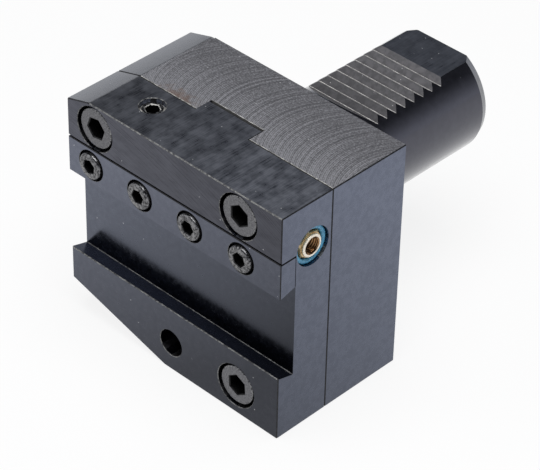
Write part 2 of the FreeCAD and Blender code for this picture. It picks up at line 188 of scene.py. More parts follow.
class Shader(Graph):
    """Node tree of one material, with the patterns that the finishes share."""

    def __init__(self, name: str) -> None:
        """Start an empty material.

        Args:
            name: the material's name.
        """
        self.material = bpy.data.materials.new(name)
        self.material.use_nodes = True
        super().__init__(self.material.node_tree)
        self.tree.nodes.clear()
        self.coords = self.add("ShaderNodeTexCoord").outputs["Object"]

    def share(
        self, value: Socket, low: float, high: float, to_low: float = 0.0, to_high: float = 1.0
    ) -> Socket:
        """Remap a value smoothly, held at both ends.

        Args:
            value: the socket to remap.
            low: value that gives to_low.
            high: value that gives to_high.
            to_low: result at low.
            to_high: result at high.

        Returns:
            The remapped socket.
        """
        inputs = {"Value": value, "From Min": low, "From Max": high, "To Min": to_low, "To Max": to_high}
        return self.add("ShaderNodeMapRange", inputs, interpolation_type="SMOOTHSTEP").outputs["Result"]

    def around(self, value: Socket, spread: float, to_low: float = 0.0, to_high: float = 1.0) -> Socket:
        """Remap a pattern, whose values lie around 0.5, as share() does.

        Args:
            value: the pattern's socket.
            spread: distance from 0.5 at which the results are reached.
            to_low: result below the middle.
            to_high: result above the middle.

        Returns:
            The remapped socket.
        """
        return self.share(value, 0.5 - spread, 0.5 + spread, to_low, to_high)

    def offset(self, place_mm: Axes) -> Socket:
        """Vector to each point from a place on the holder."""
        place = tuple(value * MM for value in place_mm)
        return self.add("ShaderNodeVectorMath", {0: self.coords, 1: place}, operation="SUBTRACT").outputs[0]

    def mix(self, share: object, first: object, second: object) -> Socket:
        """Blend two colours.

        Args:
            share: how much of the second colour, as a value or socket.
            first: first colour or socket.
            second: second colour or socket.

        Returns:
            The blended colour.
        """
        node = self.add("ShaderNodeMix", data_type="RGBA")
        for index, value in ((0, share), (6, first), (7, second)):
            if isinstance(value, tuple):
                value = (*value, 1.0)
            self.feed(node.inputs[index], value)
        return node.outputs[2]

    def with_painted_shade(self, colour: Socket, painted_shade: Fade | None) -> Socket:
        """Paint shade into a colour by darkening it along a direction.

        Args:
            colour: the colour's socket.
            painted_shade: how the painted shade darkens it, or nothing.

        Returns:
            The colour with its painted shade.
        """
        if painted_shade is None:
            return colour
        inputs = {0: self.offset(painted_shade.start_mm), 1: tuple(value / MM for value in painted_shade.per_mm)}
        drop = self.add("ShaderNodeVectorMath", inputs, operation="DOT_PRODUCT").outputs["Value"]
        held = self.math("MINIMUM", self.math("MAXIMUM", drop, 0.0), painted_shade.most)
        return self.mix(held, colour, (0.0, 0.0, 0.0))

    def noise(self, per_mm: Axes, detail: float = 4.0) -> Socket:
        """Noise that may be stretched along an axis.

        Args:
            per_mm: features per millimetre along X, Y and Z.
            detail: number of octaves.

        Returns:
            A value around 0.5.
        """
        scale = tuple(value / MM for value in per_mm)
        scaled = self.add("ShaderNodeMapping", {"Vector": self.coords, "Scale": scale}).outputs["Vector"]
        inputs = {"Vector": scaled, "Scale": 1.0, "Detail": detail, "Roughness": 0.6}
        return self.add("ShaderNodeTexNoise", inputs).outputs["Fac"]

    def scratches(self, distance: Socket, per_mm: float, detail: float = 3.0) -> Socket:
        """Scratches along the lines on which a distance is constant.

        Args:
            distance: the distance, in metres.
            per_mm: scratches per millimetre.
            detail: number of octaves.

        Returns:
            A value around 0.5.
        """
        inputs = {"W": self.math("MULTIPLY", distance, per_mm / MM), "Scale": 1.0, "Detail": detail}
        return self.add("ShaderNodeTexNoise", inputs, noise_dimensions="1D").outputs["Fac"]

    def specks(self, per_mm: float, radius: float, kept: float) -> Socket:
        """Sparse dust grains.

        Args:
            per_mm: cells per millimetre.
            radius: grain radius as a share of a cell.
            kept: share of the cells that hold a grain.

        Returns:
            1 on a grain and 0 elsewhere.
        """
        cells = self.add("ShaderNodeTexVoronoi", {"Vector": self.coords, "Scale": per_mm / MM}, feature="F1")
        red = self.add("ShaderNodeSeparateColor", {"Color": cells.outputs["Color"]}).outputs["Red"]
        near = self.math("LESS_THAN", cells.outputs["Distance"], radius)
        return self.math("MULTIPLY", self.math("LESS_THAN", red, kept), near)

    def bump(self, height: Socket, height_mm: float) -> Socket:
        """Normal on a surface whose marks stand as high as stated."""
        inputs = {"Height": height, "Strength": 1.0, "Distance": height_mm * MM}
        return self.add("ShaderNodeBump", inputs).outputs["Normal"]

    def principled(self, inputs: dict) -> bpy.types.Material:
        """Close the tree with a Principled BSDF.

        Args:
            inputs: the shader's inputs by name.

        Returns:
            The finished material.
        """
        surface = self.add("ShaderNodeBsdfPrincipled", inputs)
        self.add("ShaderNodeOutputMaterial", {"Surface": surface.outputs[0]})
        return self.material


@dataclass(frozen=True)
class Grinding:
    """Faint, even cloudiness of a ground face."""

    per_mm: Axes = (0.5, 0.5, 0.5)
    octaves: float = 4.0

    def pattern(self, shader: Shader) -> Socket:
        """Tone and height of the marks, around 0.5."""
        return shader.noise(self.per_mm, self.octaves)


@dataclass(frozen=True)
class Rubbing:
    """Streaks along Y and blots, where parts have rubbed on a face."""

    streaks_per_mm: Axes = (3.0, 0.10, 0.4)
    streak_octaves: float = 3.0
    streak_weight: float = 0.4
    blots_per_mm: Axes = (0.28, 0.22, 0.25)
    blot_octaves: float = 8.0
    blot_weight: float = 0.6

    def pattern(self, shader: Shader) -> Socket:
        """Tone and height of the marks, around 0.5."""
        streaks = shader.noise(self.streaks_per_mm, self.streak_octaves)
        blots = shader.noise(self.blots_per_mm, self.blot_octaves)
        return shader.products(streaks, self.streak_weight, blots, self.blot_weight)


@dataclass(frozen=True)
class FaceMilling:
    """Arcs of both edges of a face mill that passed along X, crossing each other near the front."""

    cutter_radius_mm: float = 24.0
    path_y_mm: float = -16.0
    feed_mm: float = 0.6
    near_y_mm: float = -30.0
    far_y_mm: float = -6.0
    near_crossing: float = 0.5
    near_arc_weight: float = 0.19
    far_arc_weight: float = 0.07
    scratches_per_mm: float = 1.1
    scratch_octaves: float = 4.0
    scratch_swing: float = 0.6
    scratch_floor: float = 0.2
    grit_per_mm: Axes = (2.0, 2.0, 2.0)
    grit_octaves: float = 3.0
    rough_weight: float = 0.42

    def feed_marks(self, shader: Shader, distance: Socket) -> Socket:
        """Evenly spaced cutter marks, one for each feed of the cutter."""
        turns = shader.math("MULTIPLY", distance, 2 * math.pi / (self.feed_mm * MM))
        return shader.math("MULTIPLY_ADD", shader.math("SINE", turns), 0.5, 0.5)

    def pattern(self, shader: Shader) -> Socket:
        """Tone and height of the marks.

        Args:
            shader: the material being built.

        Returns:
            A value around 0.5.
        """
        axes = shader.axes(shader.coords)
        across = shader.math("SUBTRACT", axes["Y"], self.path_y_mm * MM)
        square = shader.math("MULTIPLY", across, across)
        rest = shader.math("SUBTRACT", (self.cutter_radius_mm * MM) ** 2, square)
        bow = shader.math("SQRT", shader.math("MAXIMUM", rest, 0.0))
        leading = shader.math("ADD", axes["X"], bow)
        trailing = shader.math("SUBTRACT", axes["X"], bow)
        first = self.feed_marks(shader, leading)
        gap = shader.math("SUBTRACT", self.feed_marks(shader, trailing), first)
        reach = (self.near_y_mm * MM, self.far_y_mm * MM)
        crossing = shader.share(axes["Y"], *reach, self.near_crossing, 0.0)
        arcs = shader.math("MULTIPLY_ADD", gap, crossing, first)
        weight = shader.share(axes["Y"], *reach, self.near_arc_weight, self.far_arc_weight)
        lines = shader.scratches(leading, self.scratches_per_mm, self.scratch_octaves)
        uneven = shader.math("MULTIPLY_ADD", lines, self.scratch_swing, self.scratch_floor)
        rough = shader.math("ADD", uneven, shader.noise(self.grit_per_mm, self.grit_octaves))
        return shader.products(arcs, weight, rough, self.rough_weight)


@dataclass(frozen=True)
class FlyCutting:
    """Fine streaks on wide arcs that fan out across a face."""

    sweep_x_mm: float = -85.0
    sweep_z_mm: float = -213.0
    streaks_per_mm: float = 2.6
    clouds_per_mm: Axes = (0.12, 0.12, 0.3)
    octaves: float = 3.0
    weight: float = 0.5

    def pattern(self, shader: Shader) -> Socket:
        """Tone and height of the marks.

        Args:
            shader: the material being built.

        Returns:
            A value around 0.5.
        """
        axes = shader.axes(shader.coords)
        side = shader.math("SUBTRACT", axes["X"], self.sweep_x_mm * MM)
        rise = shader.math("SUBTRACT", axes["Z"], self.sweep_z_mm * MM)
        reach = shader.math("SQRT", shader.products(side, side, rise, rise))
        streaks = shader.scratches(reach, self.streaks_per_mm, self.octaves)
        clouds = shader.noise(self.clouds_per_mm, self.octaves)
        return shader.products(streaks, self.weight, clouds, self.weight)


class Marks(Enum):
    """How a steel face was machined, with the pattern that this leaves."""

    GROUND = Grinding()
    RUBBED = Rubbing()
    FACE_MILLED = FaceMilling()
    FLY_CUT = FlyCutting()


@dataclass(frozen=True)
class Stain:
    """Rust stain that is drawn out along X and has a ragged border."""

    colour: Colour
    centre_mm: Axes = (-20.5, -29.5, 30.4)
    stretch: Axes = (0.45, 1.0, 1.0)
    reach_mm: float = 4.4
    strength: float = 0.6
    ragged_per_mm: Axes = (0.6, 0.6, 0.6)

    def share(self, shader: Shader) -> Socket:
        """How much of the face's colour the stain covers.

        Args:
            shader: the material being built.

        Returns:
            A value from 0 to the stain's strength.
        """
        inputs = {0: shader.offset(self.centre_mm), 1: self.stretch}
        drawn = shader.add("ShaderNodeVectorMath", inputs, operation="MULTIPLY").outputs[0]
        away = shader.add("ShaderNodeVectorMath", {0: drawn}, operation="LENGTH").outputs["Value"]
        reach = self.reach_mm * MM
        ragged = shader.math("MULTIPLY_ADD", shader.noise(self.ragged_per_mm), 2 * reach, away)
        return shader.share(ragged, reach, 2 * reach, self.strength, 0.0)


@dataclass(frozen=True)
class Dust:
    """Sparse pale grains, in the stated share of the cells that a face is divided into."""

    kept: float = 0.35
    cells_per_mm: float = 0.35
    radius: float = 0.06
    cover: float = 0.6
    colour: Colour = (0.75, 0.76, 0.78)

    def over(self, shader: Shader, colour: Socket) -> Socket:
        """Strew the grains over a colour."""
        grains = shader.specks(self.cells_per_mm, self.radius, self.kept)
        return shader.mix(shader.math("MULTIPLY", grains, self.cover), colour, self.colour)


@dataclass(frozen=True)
class Recipe:
    """Finish with a dark and a light tone, whose roughness follows its pattern."""

    dark: Colour
    light: Colour
    roughness: float

    def inputs(self, shader: Shader) -> dict[str, object]:
        """Inputs of the Principled shader.

        Args:
            shader: the material being built.

        Returns:
            The inputs by name.
        """
        raise NotImplementedError

    def uneven(self, shader: Shader, pattern: Socket, spread: float, less: float, more: float) -> Socket:
        """Roughness that runs from less than the stated one to more, with the pattern."""
        return shader.around(pattern, spread, self.roughness - less, self.roughness + more)


@dataclass(frozen=True)
class OxideSteel(Recipe):
    """Blackened steel: a dark metal whose pattern depends on how the face was machined."""

    marks: Marks = Marks.GROUND
    mark_height_mm: float = 0.003
    metallic: float = 1.0
    dust: Dust = Dust()
    spread: float = 0.16
    oil: float = 0.0
    oil_roughness: float = 0.12
    # Painted shade laid over the colour, or nothing.
    painted_shade: Fade | None = None
    stain: Stain | None = None

    def inputs(self, shader: Shader) -> dict[str, object]:
        """See Recipe.inputs."""
        marks = self.marks.value.pattern(shader)
        colour = shader.mix(shader.around(marks, self.spread), self.dark, self.light)
        if self.stain is not None:
            colour = shader.mix(self.stain.share(shader), colour, self.stain.colour)
        return {
            "Base Color": self.dust.over(shader, shader.with_painted_shade(colour, self.painted_shade)),
            "Metallic": self.metallic,
            "Roughness": self.uneven(shader, marks, spread=0.25, less=0.05, more=0.07),
            "Coat Weight": self.oil,
            "Coat Roughness": self.oil_roughness,
            "Normal": shader.bump(marks, self.mark_height_mm),
        }


@dataclass(frozen=True)
class BareMetal(Recipe):
    """Metal with small scratches, for worn edges, screws and brass, and for the painted glints and painted
    shade on edges and tooth roots.
    """

    grain_per_mm: float = 3.0
    contrast: float = 0.15
    metallic: float = 1.0
    # Painted shade laid over the colour, or nothing.
    painted_shade: Fade | None = None
    grain_octaves: float = 5.0
    mark_height_mm: float = 0.004

    def inputs(self, shader: Shader) -> dict[str, object]:
        """See Recipe.inputs."""
        grain = shader.noise((self.grain_per_mm,) * 3, self.grain_octaves)
        colour = shader.mix(shader.around(grain, self.contrast), self.dark, self.light)
        return {
            "Base Color": shader.with_painted_shade(colour, self.painted_shade),
            "Metallic": self.metallic,
            "Roughness": self.uneven(shader, grain, spread=0.2, less=0.06, more=0.08),
            "Normal": shader.bump(grain, self.mark_height_mm),
        }


@dataclass(frozen=True)
class SealRubber(Recipe):
    """Smooth rubber with a faint matt bloom."""

    bloom_per_mm: Axes = (0.8, 0.8, 0.8)
    bloom_from: float = 0.4
    bloom_to: float = 0.7

    def inputs(self, shader: Shader) -> dict[str, object]:
        """See Recipe.inputs."""
        bloom = shader.noise(self.bloom_per_mm)
        tone = shader.share(bloom, self.bloom_from, self.bloom_to)
        return {
            "Base Color": shader.mix(tone, self.dark, self.light),
            "Roughness": self.uneven(shader, bloom, spread=0.2, less=0.05, more=0.1),
        }


RECIPES: dict[Finish, Recipe] = {
    # Painted shade: the sides darken towards the front and the bottom.
    Finish.GROUND_SIDE: OxideSteel(
        (0.117, 0.132, 0.180),
        (0.143, 0.160, 0.215),
        0.25,
        painted_shade=Fade((0.0, -0.004, -0.0055), (0.0, 0.0, 8.0)),
    ),
    # Painted shade: a darker copy of the ground side for the front faces, darker still towards the right and
    # the bottom.
    Finish.SHADED_FRONT_FACE: OxideSteel(
        (0.118, 0.128, 0.165),
        (0.138, 0.149, 0.190),
        0.22,
        painted_shade=Fade((0.0058, 0.0, -0.0094), (-37.0, 0.0, 8.0)),
    ),
    # Painted shade: a still darker copy of the ground front for the recessed seat wall, darker towards the
    # right and the bottom.
    Finish.SHADED_SEAT_WALL: OxideSteel(
        (0.106, 0.116, 0.150),
        (0.124, 0.136, 0.174),
        0.22,
        painted_shade=Fade((0.0075, 0.0, -0.0071), (-37.0, 0.0, 8.0)),
    ),
    Finish.BASE_TOP: OxideSteel(
        (0.094, 0.094, 0.102),
        (0.33, 0.33, 0.354),
        0.38,
        Marks.FACE_MILLED,
        mark_height_mm=0.008,
        metallic=0.35,
        spread=0.11,
        stain=Stain((0.16, 0.085, 0.045)),
    ),
    # Painted shade: the rubbed top darkens towards the left.
    Finish.CARRIER_TOP: OxideSteel(
        (0.034, 0.038, 0.050),
        (0.180, 0.191, 0.223),
        0.30,
        Marks.RUBBED,
        mark_height_mm=0.004,
        metallic=0.5,
        dust=Dust(0.7),
        spread=0.2,
        painted_shade=Fade((-0.0068, 0.0, 0.0), (35.0, 0.0, 0.0)),
    ),
    # Painted shade: the strip darkens towards the right.
    Finish.FRONT_STRIP: OxideSteel(
        (0.062, 0.064, 0.080),
        (0.104, 0.107, 0.130),
        0.30,
        Marks.FLY_CUT,
        painted_shade=Fade((0.004, 0.0, 0.0), (-40.0, 0.0, 0.0)),
    ),
    # Painted highlight: a much lighter copy of the blackened steel for the left chamfers, which catch the
    # pale horizon.
    Finish.LIT_TOP_CHAMFER: OxideSteel((0.34, 0.345, 0.36), (0.39, 0.395, 0.41), 0.28),
    # Worn edge painted lighter as a glint, for edge breaks facing up and to the front, hole rims, ledge lips
    # and the shank's end.
    Finish.WORN_EDGE_WITH_GLINT: BareMetal(
        (0.035, 0.035, 0.038), (0.23, 0.23, 0.225), 0.40, grain_per_mm=0.9, contrast=0.14, metallic=0.3
    ),
    # Painted glint for the height screw's socket mouth and top chamfer.
    Finish.PAINTED_GLINT_EDGE: BareMetal(
        (0.20, 0.20, 0.195), (0.66, 0.65, 0.62), 0.35, grain_per_mm=0.9, contrast=0.14, metallic=0.3
    ),
    # Painted glint over a painted shadow: light at the top of the chamfer, nearly black below it, for the gap
    # at the joint.
    Finish.JOINT_GLINT_AND_SHADE: BareMetal(
        (0.12, 0.117, 0.112),
        (0.72, 0.71, 0.68),
        0.40,
        grain_per_mm=0.9,
        contrast=0.14,
        metallic=0.3,
        painted_shade=Fade((0.0, 0.0, -10.0), (0.0, 0.0, 30.345), 0.97),
    ),
    # Painted shade: near-black edge breaks, on all but those that face up and to the front.
    Finish.PAINTED_SHADE_EDGE: BareMetal(
        (0.010, 0.010, 0.012), (0.025, 0.025, 0.029), 0.50, grain_per_mm=0.9, contrast=0.12, metallic=0.5
    ),
    Finish.TURNED_SHANK: OxideSteel(
        (0.052, 0.053, 0.070), (0.060, 0.061, 0.080), 0.20, dust=Dust(0.1), oil=0.7
    ),
    # Painted highlight: a much lighter copy of the shank's blackened steel for the lead-in and the lathe
    # centre's cone.
    Finish.LIT_LEAD_IN: OxideSteel((0.20, 0.205, 0.22), (0.24, 0.245, 0.26), 0.26, dust=Dust(0.1)),
    Finish.SHANK_FLAT: OxideSteel(
        (0.026, 0.030, 0.040),
        (0.090, 0.098, 0.120),
        0.30,
        Marks.RUBBED,
        metallic=0.5,
        spread=0.28,
    ),
    # Painted shade: the flanks darken towards the flange.
    Finish.TOOTH_FLANK: OxideSteel(
        (0.095, 0.093, 0.100),
        (0.150, 0.147, 0.156),
        0.40,
        metallic=0.5,
        dust=Dust(0.6),
        painted_shade=Fade((0.0, -0.010, 0.0), (0.0, 50.0, 0.0)),
    ),
    # Painted glint: near-white diffuse roots for the bright lines at the tooth valleys.
    Finish.TOOTH_ROOT_GLINT: BareMetal(
        (0.30, 0.29, 0.28), (0.90, 0.88, 0.85), 0.45, grain_per_mm=0.8, contrast=0.2, metallic=0.0
    ),
    Finish.SCREW_FACE: BareMetal(
        (0.08, 0.08, 0.087), (0.19, 0.19, 0.20), 0.36, grain_per_mm=2.0, contrast=0.18
    ),
    Finish.SCREW_RIM: BareMetal(
        (0.035, 0.035, 0.038), (0.24, 0.24, 0.245), 0.27, grain_per_mm=1.6, contrast=0.13
    ),
    # Painted shade: near-black inside the hexagonal sockets and on the cap screws' socket mouths.
    Finish.SHADED_SCREW_SOCKET: BareMetal((0.02, 0.02, 0.022), (0.04, 0.04, 0.04), 0.45),
    Finish.SCREW_THREAD: BareMetal((0.07, 0.07, 0.075), (0.12, 0.12, 0.125), 0.42),
    Finish.GROUND_PIN: BareMetal((0.52, 0.52, 0.53), (0.62, 0.62, 0.63), 0.22),
    Finish.BRASS: BareMetal(
        (0.60, 0.42, 0.20), (0.80, 0.62, 0.36), 0.25, grain_per_mm=1.0, contrast=0.3, metallic=0.35
    ),
    # Painted highlight: a pale cream copy of the brass for the fitting's front face.
    Finish.LIT_BRASS_FACE: BareMetal(
        (0.86, 0.76, 0.60), (0.98, 0.92, 0.82), 0.30, grain_per_mm=1.0, contrast=0.3, metallic=0.3
    ),
    # Painted shade: dark brown brass inside the bore.
    Finish.SHADED_BRASS_BORE: BareMetal(
        (0.14, 0.065, 0.025), (0.34, 0.20, 0.10), 0.18, grain_per_mm=1.0, contrast=0.3
    ),
    Finish.BLUE_RUBBER: SealRubber((0.05, 0.27, 0.46), (0.13, 0.43, 0.64), 0.35),
    Finish.BLACK_RUBBER: SealRubber((0.012, 0.012, 0.013), (0.03, 0.03, 0.03), 0.45),
}


class Palette:
    """Makes each finish's material when it is first asked for."""

    def __init__(self) -> None:
        """Start with no materials."""
        self.made: dict[Finish, bpy.types.Material] = {}

    def material(self, finish: Finish) -> bpy.types.Material:
        """Material of a finish.

        Args:
            finish: the finish.

        Returns:
            Its material, the same one each time.
        """
        if finish not in self.made:
            shader = Shader(finish.value)
            self.made[finish] = shader.principled(RECIPES[finish].inputs(shader))
        return self.made[finish]


def add_piece(mesh: bpy.types.Mesh, name: str, body: str, node: str, slot: str) -> bpy.types.Object:
    """Put a finished mesh in the scene in place of a CAD node.

    Args:
        mesh: the mesh with its materials, in place in the row's frame.
        name: the piece's name.
        body: CAD body that the piece rides on.
        node: CAD node that it replaces.
        slot: record slot of the piece; not used.

    Returns:
        The new object.
    """
    mesh.name = name
    piece = bpy.data.objects.new(name, mesh)
    bpy.context.scene.collection.objects.link(piece)
    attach(piece, body)
    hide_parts(node)
    LOG.info("%s: %d faces", name, len(mesh.polygons))
    return piece


@dataclass(frozen=True)
class Station:
    """One ring of points round a turned piece: how far along its axis, how wide, and in what finish.

    A hexagonal ring states half its width across flats. The finish covers the band before the ring.
    """

    along: float
    radius: float
    finish: Finish
    hexagonal: bool = False

    def at(self, angle: float) -> Vector:
        """Point of the ring at an angle from a corner.

        Args:
            angle: the angle in radians.

        Returns:
            The point in metres.
        """
        radius = self.radius * MM
        if self.hexagonal:
            sixth = math.pi / 3
            radius /= math.cos(angle % sixth - sixth / 2)
        return Vector((radius * math.cos(angle), radius * math.sin(angle), self.along * MM))


class TurnedPiece:
    """Mesh through stations round the Z axis."""

    def __init__(
        self, stations: list[Station], palette: Palette, closed_loop: bool = False, segments: int = 72
    ) -> None:
        """Keep the outline.

        Args:
            stations: the rings in order; a radius of 0 ends the piece on its axis.
            palette: the holder's materials.
            closed_loop: whether the last ring joins the first, as on a piece with a bore.
            segments: points on each ring, a multiple of 6.
        """
        self.stations = stations
        self.palette = palette
        self.closed_loop = closed_loop
        self.segments = segments

    def finishes(self) -> list[Finish]:
        """The finishes in the order of their first use."""
        return list(dict.fromkeys(station.finish for station in self.stations))

    def mesh(self, sharp_deg: float = 32.0) -> bpy.types.Mesh:
        """Build the mesh with its materials.

        Args:
            sharp_deg: angle between faces past which an edge stays crisp.

        Returns:
            The mesh, about the Z axis.
        """
        bm = bmesh.new()
        rings = []
        for station in self.stations:
            count = self.segments if station.radius else 1
            rings.append([bm.verts.new(station.at(2 * math.pi * index / count)) for index in range(count)])
        order = self.finishes()
        pairs = list(zip(rings, rings[1:], self.stations[1:]))
        if self.closed_loop:
            pairs.append((rings[-1], rings[0], self.stations[0]))
        for first, second, station in pairs:
            for index in range(self.segments):
                after = (index + 1) % self.segments
                corners = [first[index % len(first)], first[after % len(first)]]
                corners += [second[after % len(second)], second[index % len(second)]]
                face = bm.faces.new(list(dict.fromkeys(corners)))
                face.material_index = order.index(station.finish)
                face.smooth = True
        bmesh.ops.recalc_face_normals(bm, faces=bm.faces)
        mesh = bpy.data.meshes.new("turned")
        bm.to_mesh(mesh)
        bm.free()
        for finish in order:
            mesh.materials.append(self.palette.material(finish))
        mesh.set_sharp_from_angle(angle=math.radians(sharp_deg))
        return mesh


def laid(mesh: bpy.types.Mesh, axis: Vector, origin: Vector, clocking_deg: float = 0.0) -> bpy.types.Mesh:
    """Lay a turned mesh along an axis.

    Args:
        mesh: mesh about the Z axis.
        axis: direction that its Z takes.
        origin: place that its origin takes.
        clocking_deg: turn about the axis.

    Returns:
        The same mesh, moved.
    """
    lay = Vector((0, 0, 1)).rotation_difference(axis).to_matrix().to_4x4()
    mesh.transform(Matrix.Translation(origin) @ lay @ Matrix.Rotation(math.radians(clocking_deg), 4, "Z"))
    return mesh


class NodeTool:
    """Geometry Nodes tree that a piece's mesh is passed through."""

    sizes: tuple[str, ...] = ()
    finishes: tuple[str, ...] = ()

    def __init__(self) -> None:
        """Make the tree with its named inputs."""
        self.tree = bpy.data.node_groups.new(type(self).__name__, "GeometryNodeTree")
        self.identifiers: dict[str, str] = {}
        interface = self.tree.interface
        interface.new_socket("Geometry", in_out="INPUT", socket_type="NodeSocketGeometry")
        for name in self.sizes:
            item = interface.new_socket(name, in_out="INPUT", socket_type="NodeSocketFloat")
            self.identifiers[name] = item.identifier
        for name in self.finishes:
            item = interface.new_socket(name, in_out="INPUT", socket_type="NodeSocketMaterial")
            self.identifiers[name] = item.identifier
        interface.new_socket("Geometry", in_out="OUTPUT", socket_type="NodeSocketGeometry")
        graph = Graph(self.tree)
        entry = graph.add("NodeGroupInput").outputs
        graph.add("NodeGroupOutput", {"Geometry": self.fill(graph, entry)})

    def fill(self, graph: Graph, entry: bpy.types.NodeOutputs) -> Socket:
        """Add the tool's own nodes.

        Args:
            graph: the tree to fill.
            entry: the tree's inputs by name.

        Returns:
            The finished geometry.
        """
        raise NotImplementedError

    def apply(self, mesh: bpy.types.Mesh, values: dict[str, object]) -> bpy.types.Mesh:
        """Pass a mesh through the tree.

        Args:
            mesh: the mesh to work on.
            values: the inputs by name.

        Returns:
            The resulting mesh.
        """
        work = bpy.data.objects.new("work", mesh)
        bpy.context.scene.collection.objects.link(work)
        modifier = work.modifiers.new("tool", "NODES")
        modifier.node_group = self.tree
        for name, value in values.items():
            modifier[self.identifiers[name]] = value
        graph = bpy.context.evaluated_depsgraph_get()
        result = bpy.data.meshes.new_from_object(work.evaluated_get(graph), depsgraph=graph)
        bpy.data.objects.remove(work)
        bpy.data.meshes.remove(mesh)
        return result


class ThreadTool(NodeTool):
    """Cuts a screw thread into the dense rings of a turned piece."""

    sizes = ("Pitch", "Depth", "Start", "End", "Least radius", "Most radius")
    finishes = ("Thread finish",)

    def fill(self, graph: Graph, entry: bpy.types.NodeOutputs) -> Socket:
        """See NodeTool.fill."""
        axes = graph.axes(graph.add("GeometryNodeInputPosition").outputs[0])
        radius = graph.math("SQRT", graph.products(axes["X"], axes["X"], axes["Y"], axes["Y"]))
        angle = graph.math("ARCTAN2", axes["Y"], axes["X"])
        turns = graph.math("DIVIDE", axes["Z"], entry["Pitch"])
        helix = graph.math("SUBTRACT", turns, graph.math("DIVIDE", angle, 2 * math.pi))
        wave = graph.math("MULTIPLY", graph.math("PINGPONG", helix, 0.5), 2.0)
        cut = graph.math("MULTIPLY", wave, entry["Depth"])
        keep = graph.math("SUBTRACT", 1.0, graph.math("DIVIDE", cut, radius))
        place = graph.vector(
            graph.math("MULTIPLY", axes["X"], keep), graph.math("MULTIPLY", axes["Y"], keep), axes["Z"]
        )
        inside = graph.math("GREATER_THAN", axes["Z"], entry["Start"])
        for operation, value, limit in (
            ("LESS_THAN", axes["Z"], entry["End"]),
            ("GREATER_THAN", radius, entry["Least radius"]),
            ("LESS_THAN", radius, entry["Most radius"]),
        ):
            inside = graph.math("MULTIPLY", inside, graph.math(operation, value, limit))
        inputs = {"Geometry": entry["Geometry"], "Selection": inside, "Position": place}
        moved = graph.add("GeometryNodeSetPosition", inputs).outputs[0]
        realized = graph.add("GeometryNodeRealizeInstances", {"Geometry": moved}).outputs[0]
        inputs = {"Geometry": realized, "Selection": inside, "Material": entry["Thread finish"]}
        return graph.add("GeometryNodeSetMaterial", inputs).outputs[0]


@dataclass(frozen=True)
class Thread:
    """Screw thread on a turned piece: its sizes in millimetres, measured along and from the axis."""

    pitch: float
    radius: float
    start: float
    end: float
    reach: float
    finish: Finish
    inner: bool = False

    def inputs(self, palette: Palette) -> dict[str, object]:
        """Values for the thread tree.

        Args:
            palette: the holder's materials.

        Returns:
            The tree's inputs by name.
        """
        depth = self.pitch * THREAD_DEPTH
        sizes = {
            "Pitch": self.pitch,
            "Depth": -depth if self.inner else depth,
            "Start": self.start,
            "End": self.end,
            "Least radius": self.radius - self.reach,
            "Most radius": self.radius + self.reach,
        }
        values = {name: size * MM for name, size in sizes.items()}
        return {**values, "Thread finish": palette.material(self.finish)}


def thread_rows(start: float, end: float, radius: float, pitch: float, finish: Finish) -> list[Station]:
    """Dense rings for a thread.

    Args:
        start: first ring along the axis, in millimetres.
        end: last ring, in millimetres.
        radius: crest radius in millimetres.
        pitch: thread pitch in millimetres.
        finish: finish of the band.

    Returns:
        The rings from start to end.
    """
    count = math.ceil(abs(end - start) / pitch * RINGS_PER_TURN)
    return [Station(start + (end - start) * row / count, radius, finish) for row in range(count + 1)]


def rounded(along: float, radius: float, corner: float, steps: int, finish: Finish) -> list[Station]:
    """Rings of a rounded rim between a flat face and the side below it.

    Args:
        along: place of the flat face along the axis.
        radius: radius of the side.
        corner: radius of the rounding.
        steps: number of bands.
        finish: finish of the bands.

    Returns:
        The rings from the face to the side.
    """
    rings = []
    for step in range(1, steps + 1):
        turn = math.pi / 2 * step / steps
        place = along + corner * (1 - math.cos(turn))
        rings.append(Station(place, radius - corner + corner * math.sin(turn), finish))
    return rings


def socket(flats: float, depth: float, mouth: float, mouth_finish: Finish) -> list[Station]:
    """Rings of a hexagonal socket, from the point of its drilled bottom to its mouth in a flat face, painted
    dark inside as shade.

    Args:
        flats: width across flats.
        depth: depth of the flats.
        mouth: chamfer at the mouth.
        mouth_finish: finish of that chamfer.

    Returns:
        The rings, with the face at 0.
    """
    half = flats / 2
    return [
        Station(depth + half / 2, 0.0, Finish.SHADED_SCREW_SOCKET),
        Station(depth, half, Finish.SHADED_SCREW_SOCKET, True),
        Station(mouth, half, Finish.SHADED_SCREW_SOCKET, True),
        Station(0.0, half + mouth, mouth_finish, True),
    ]


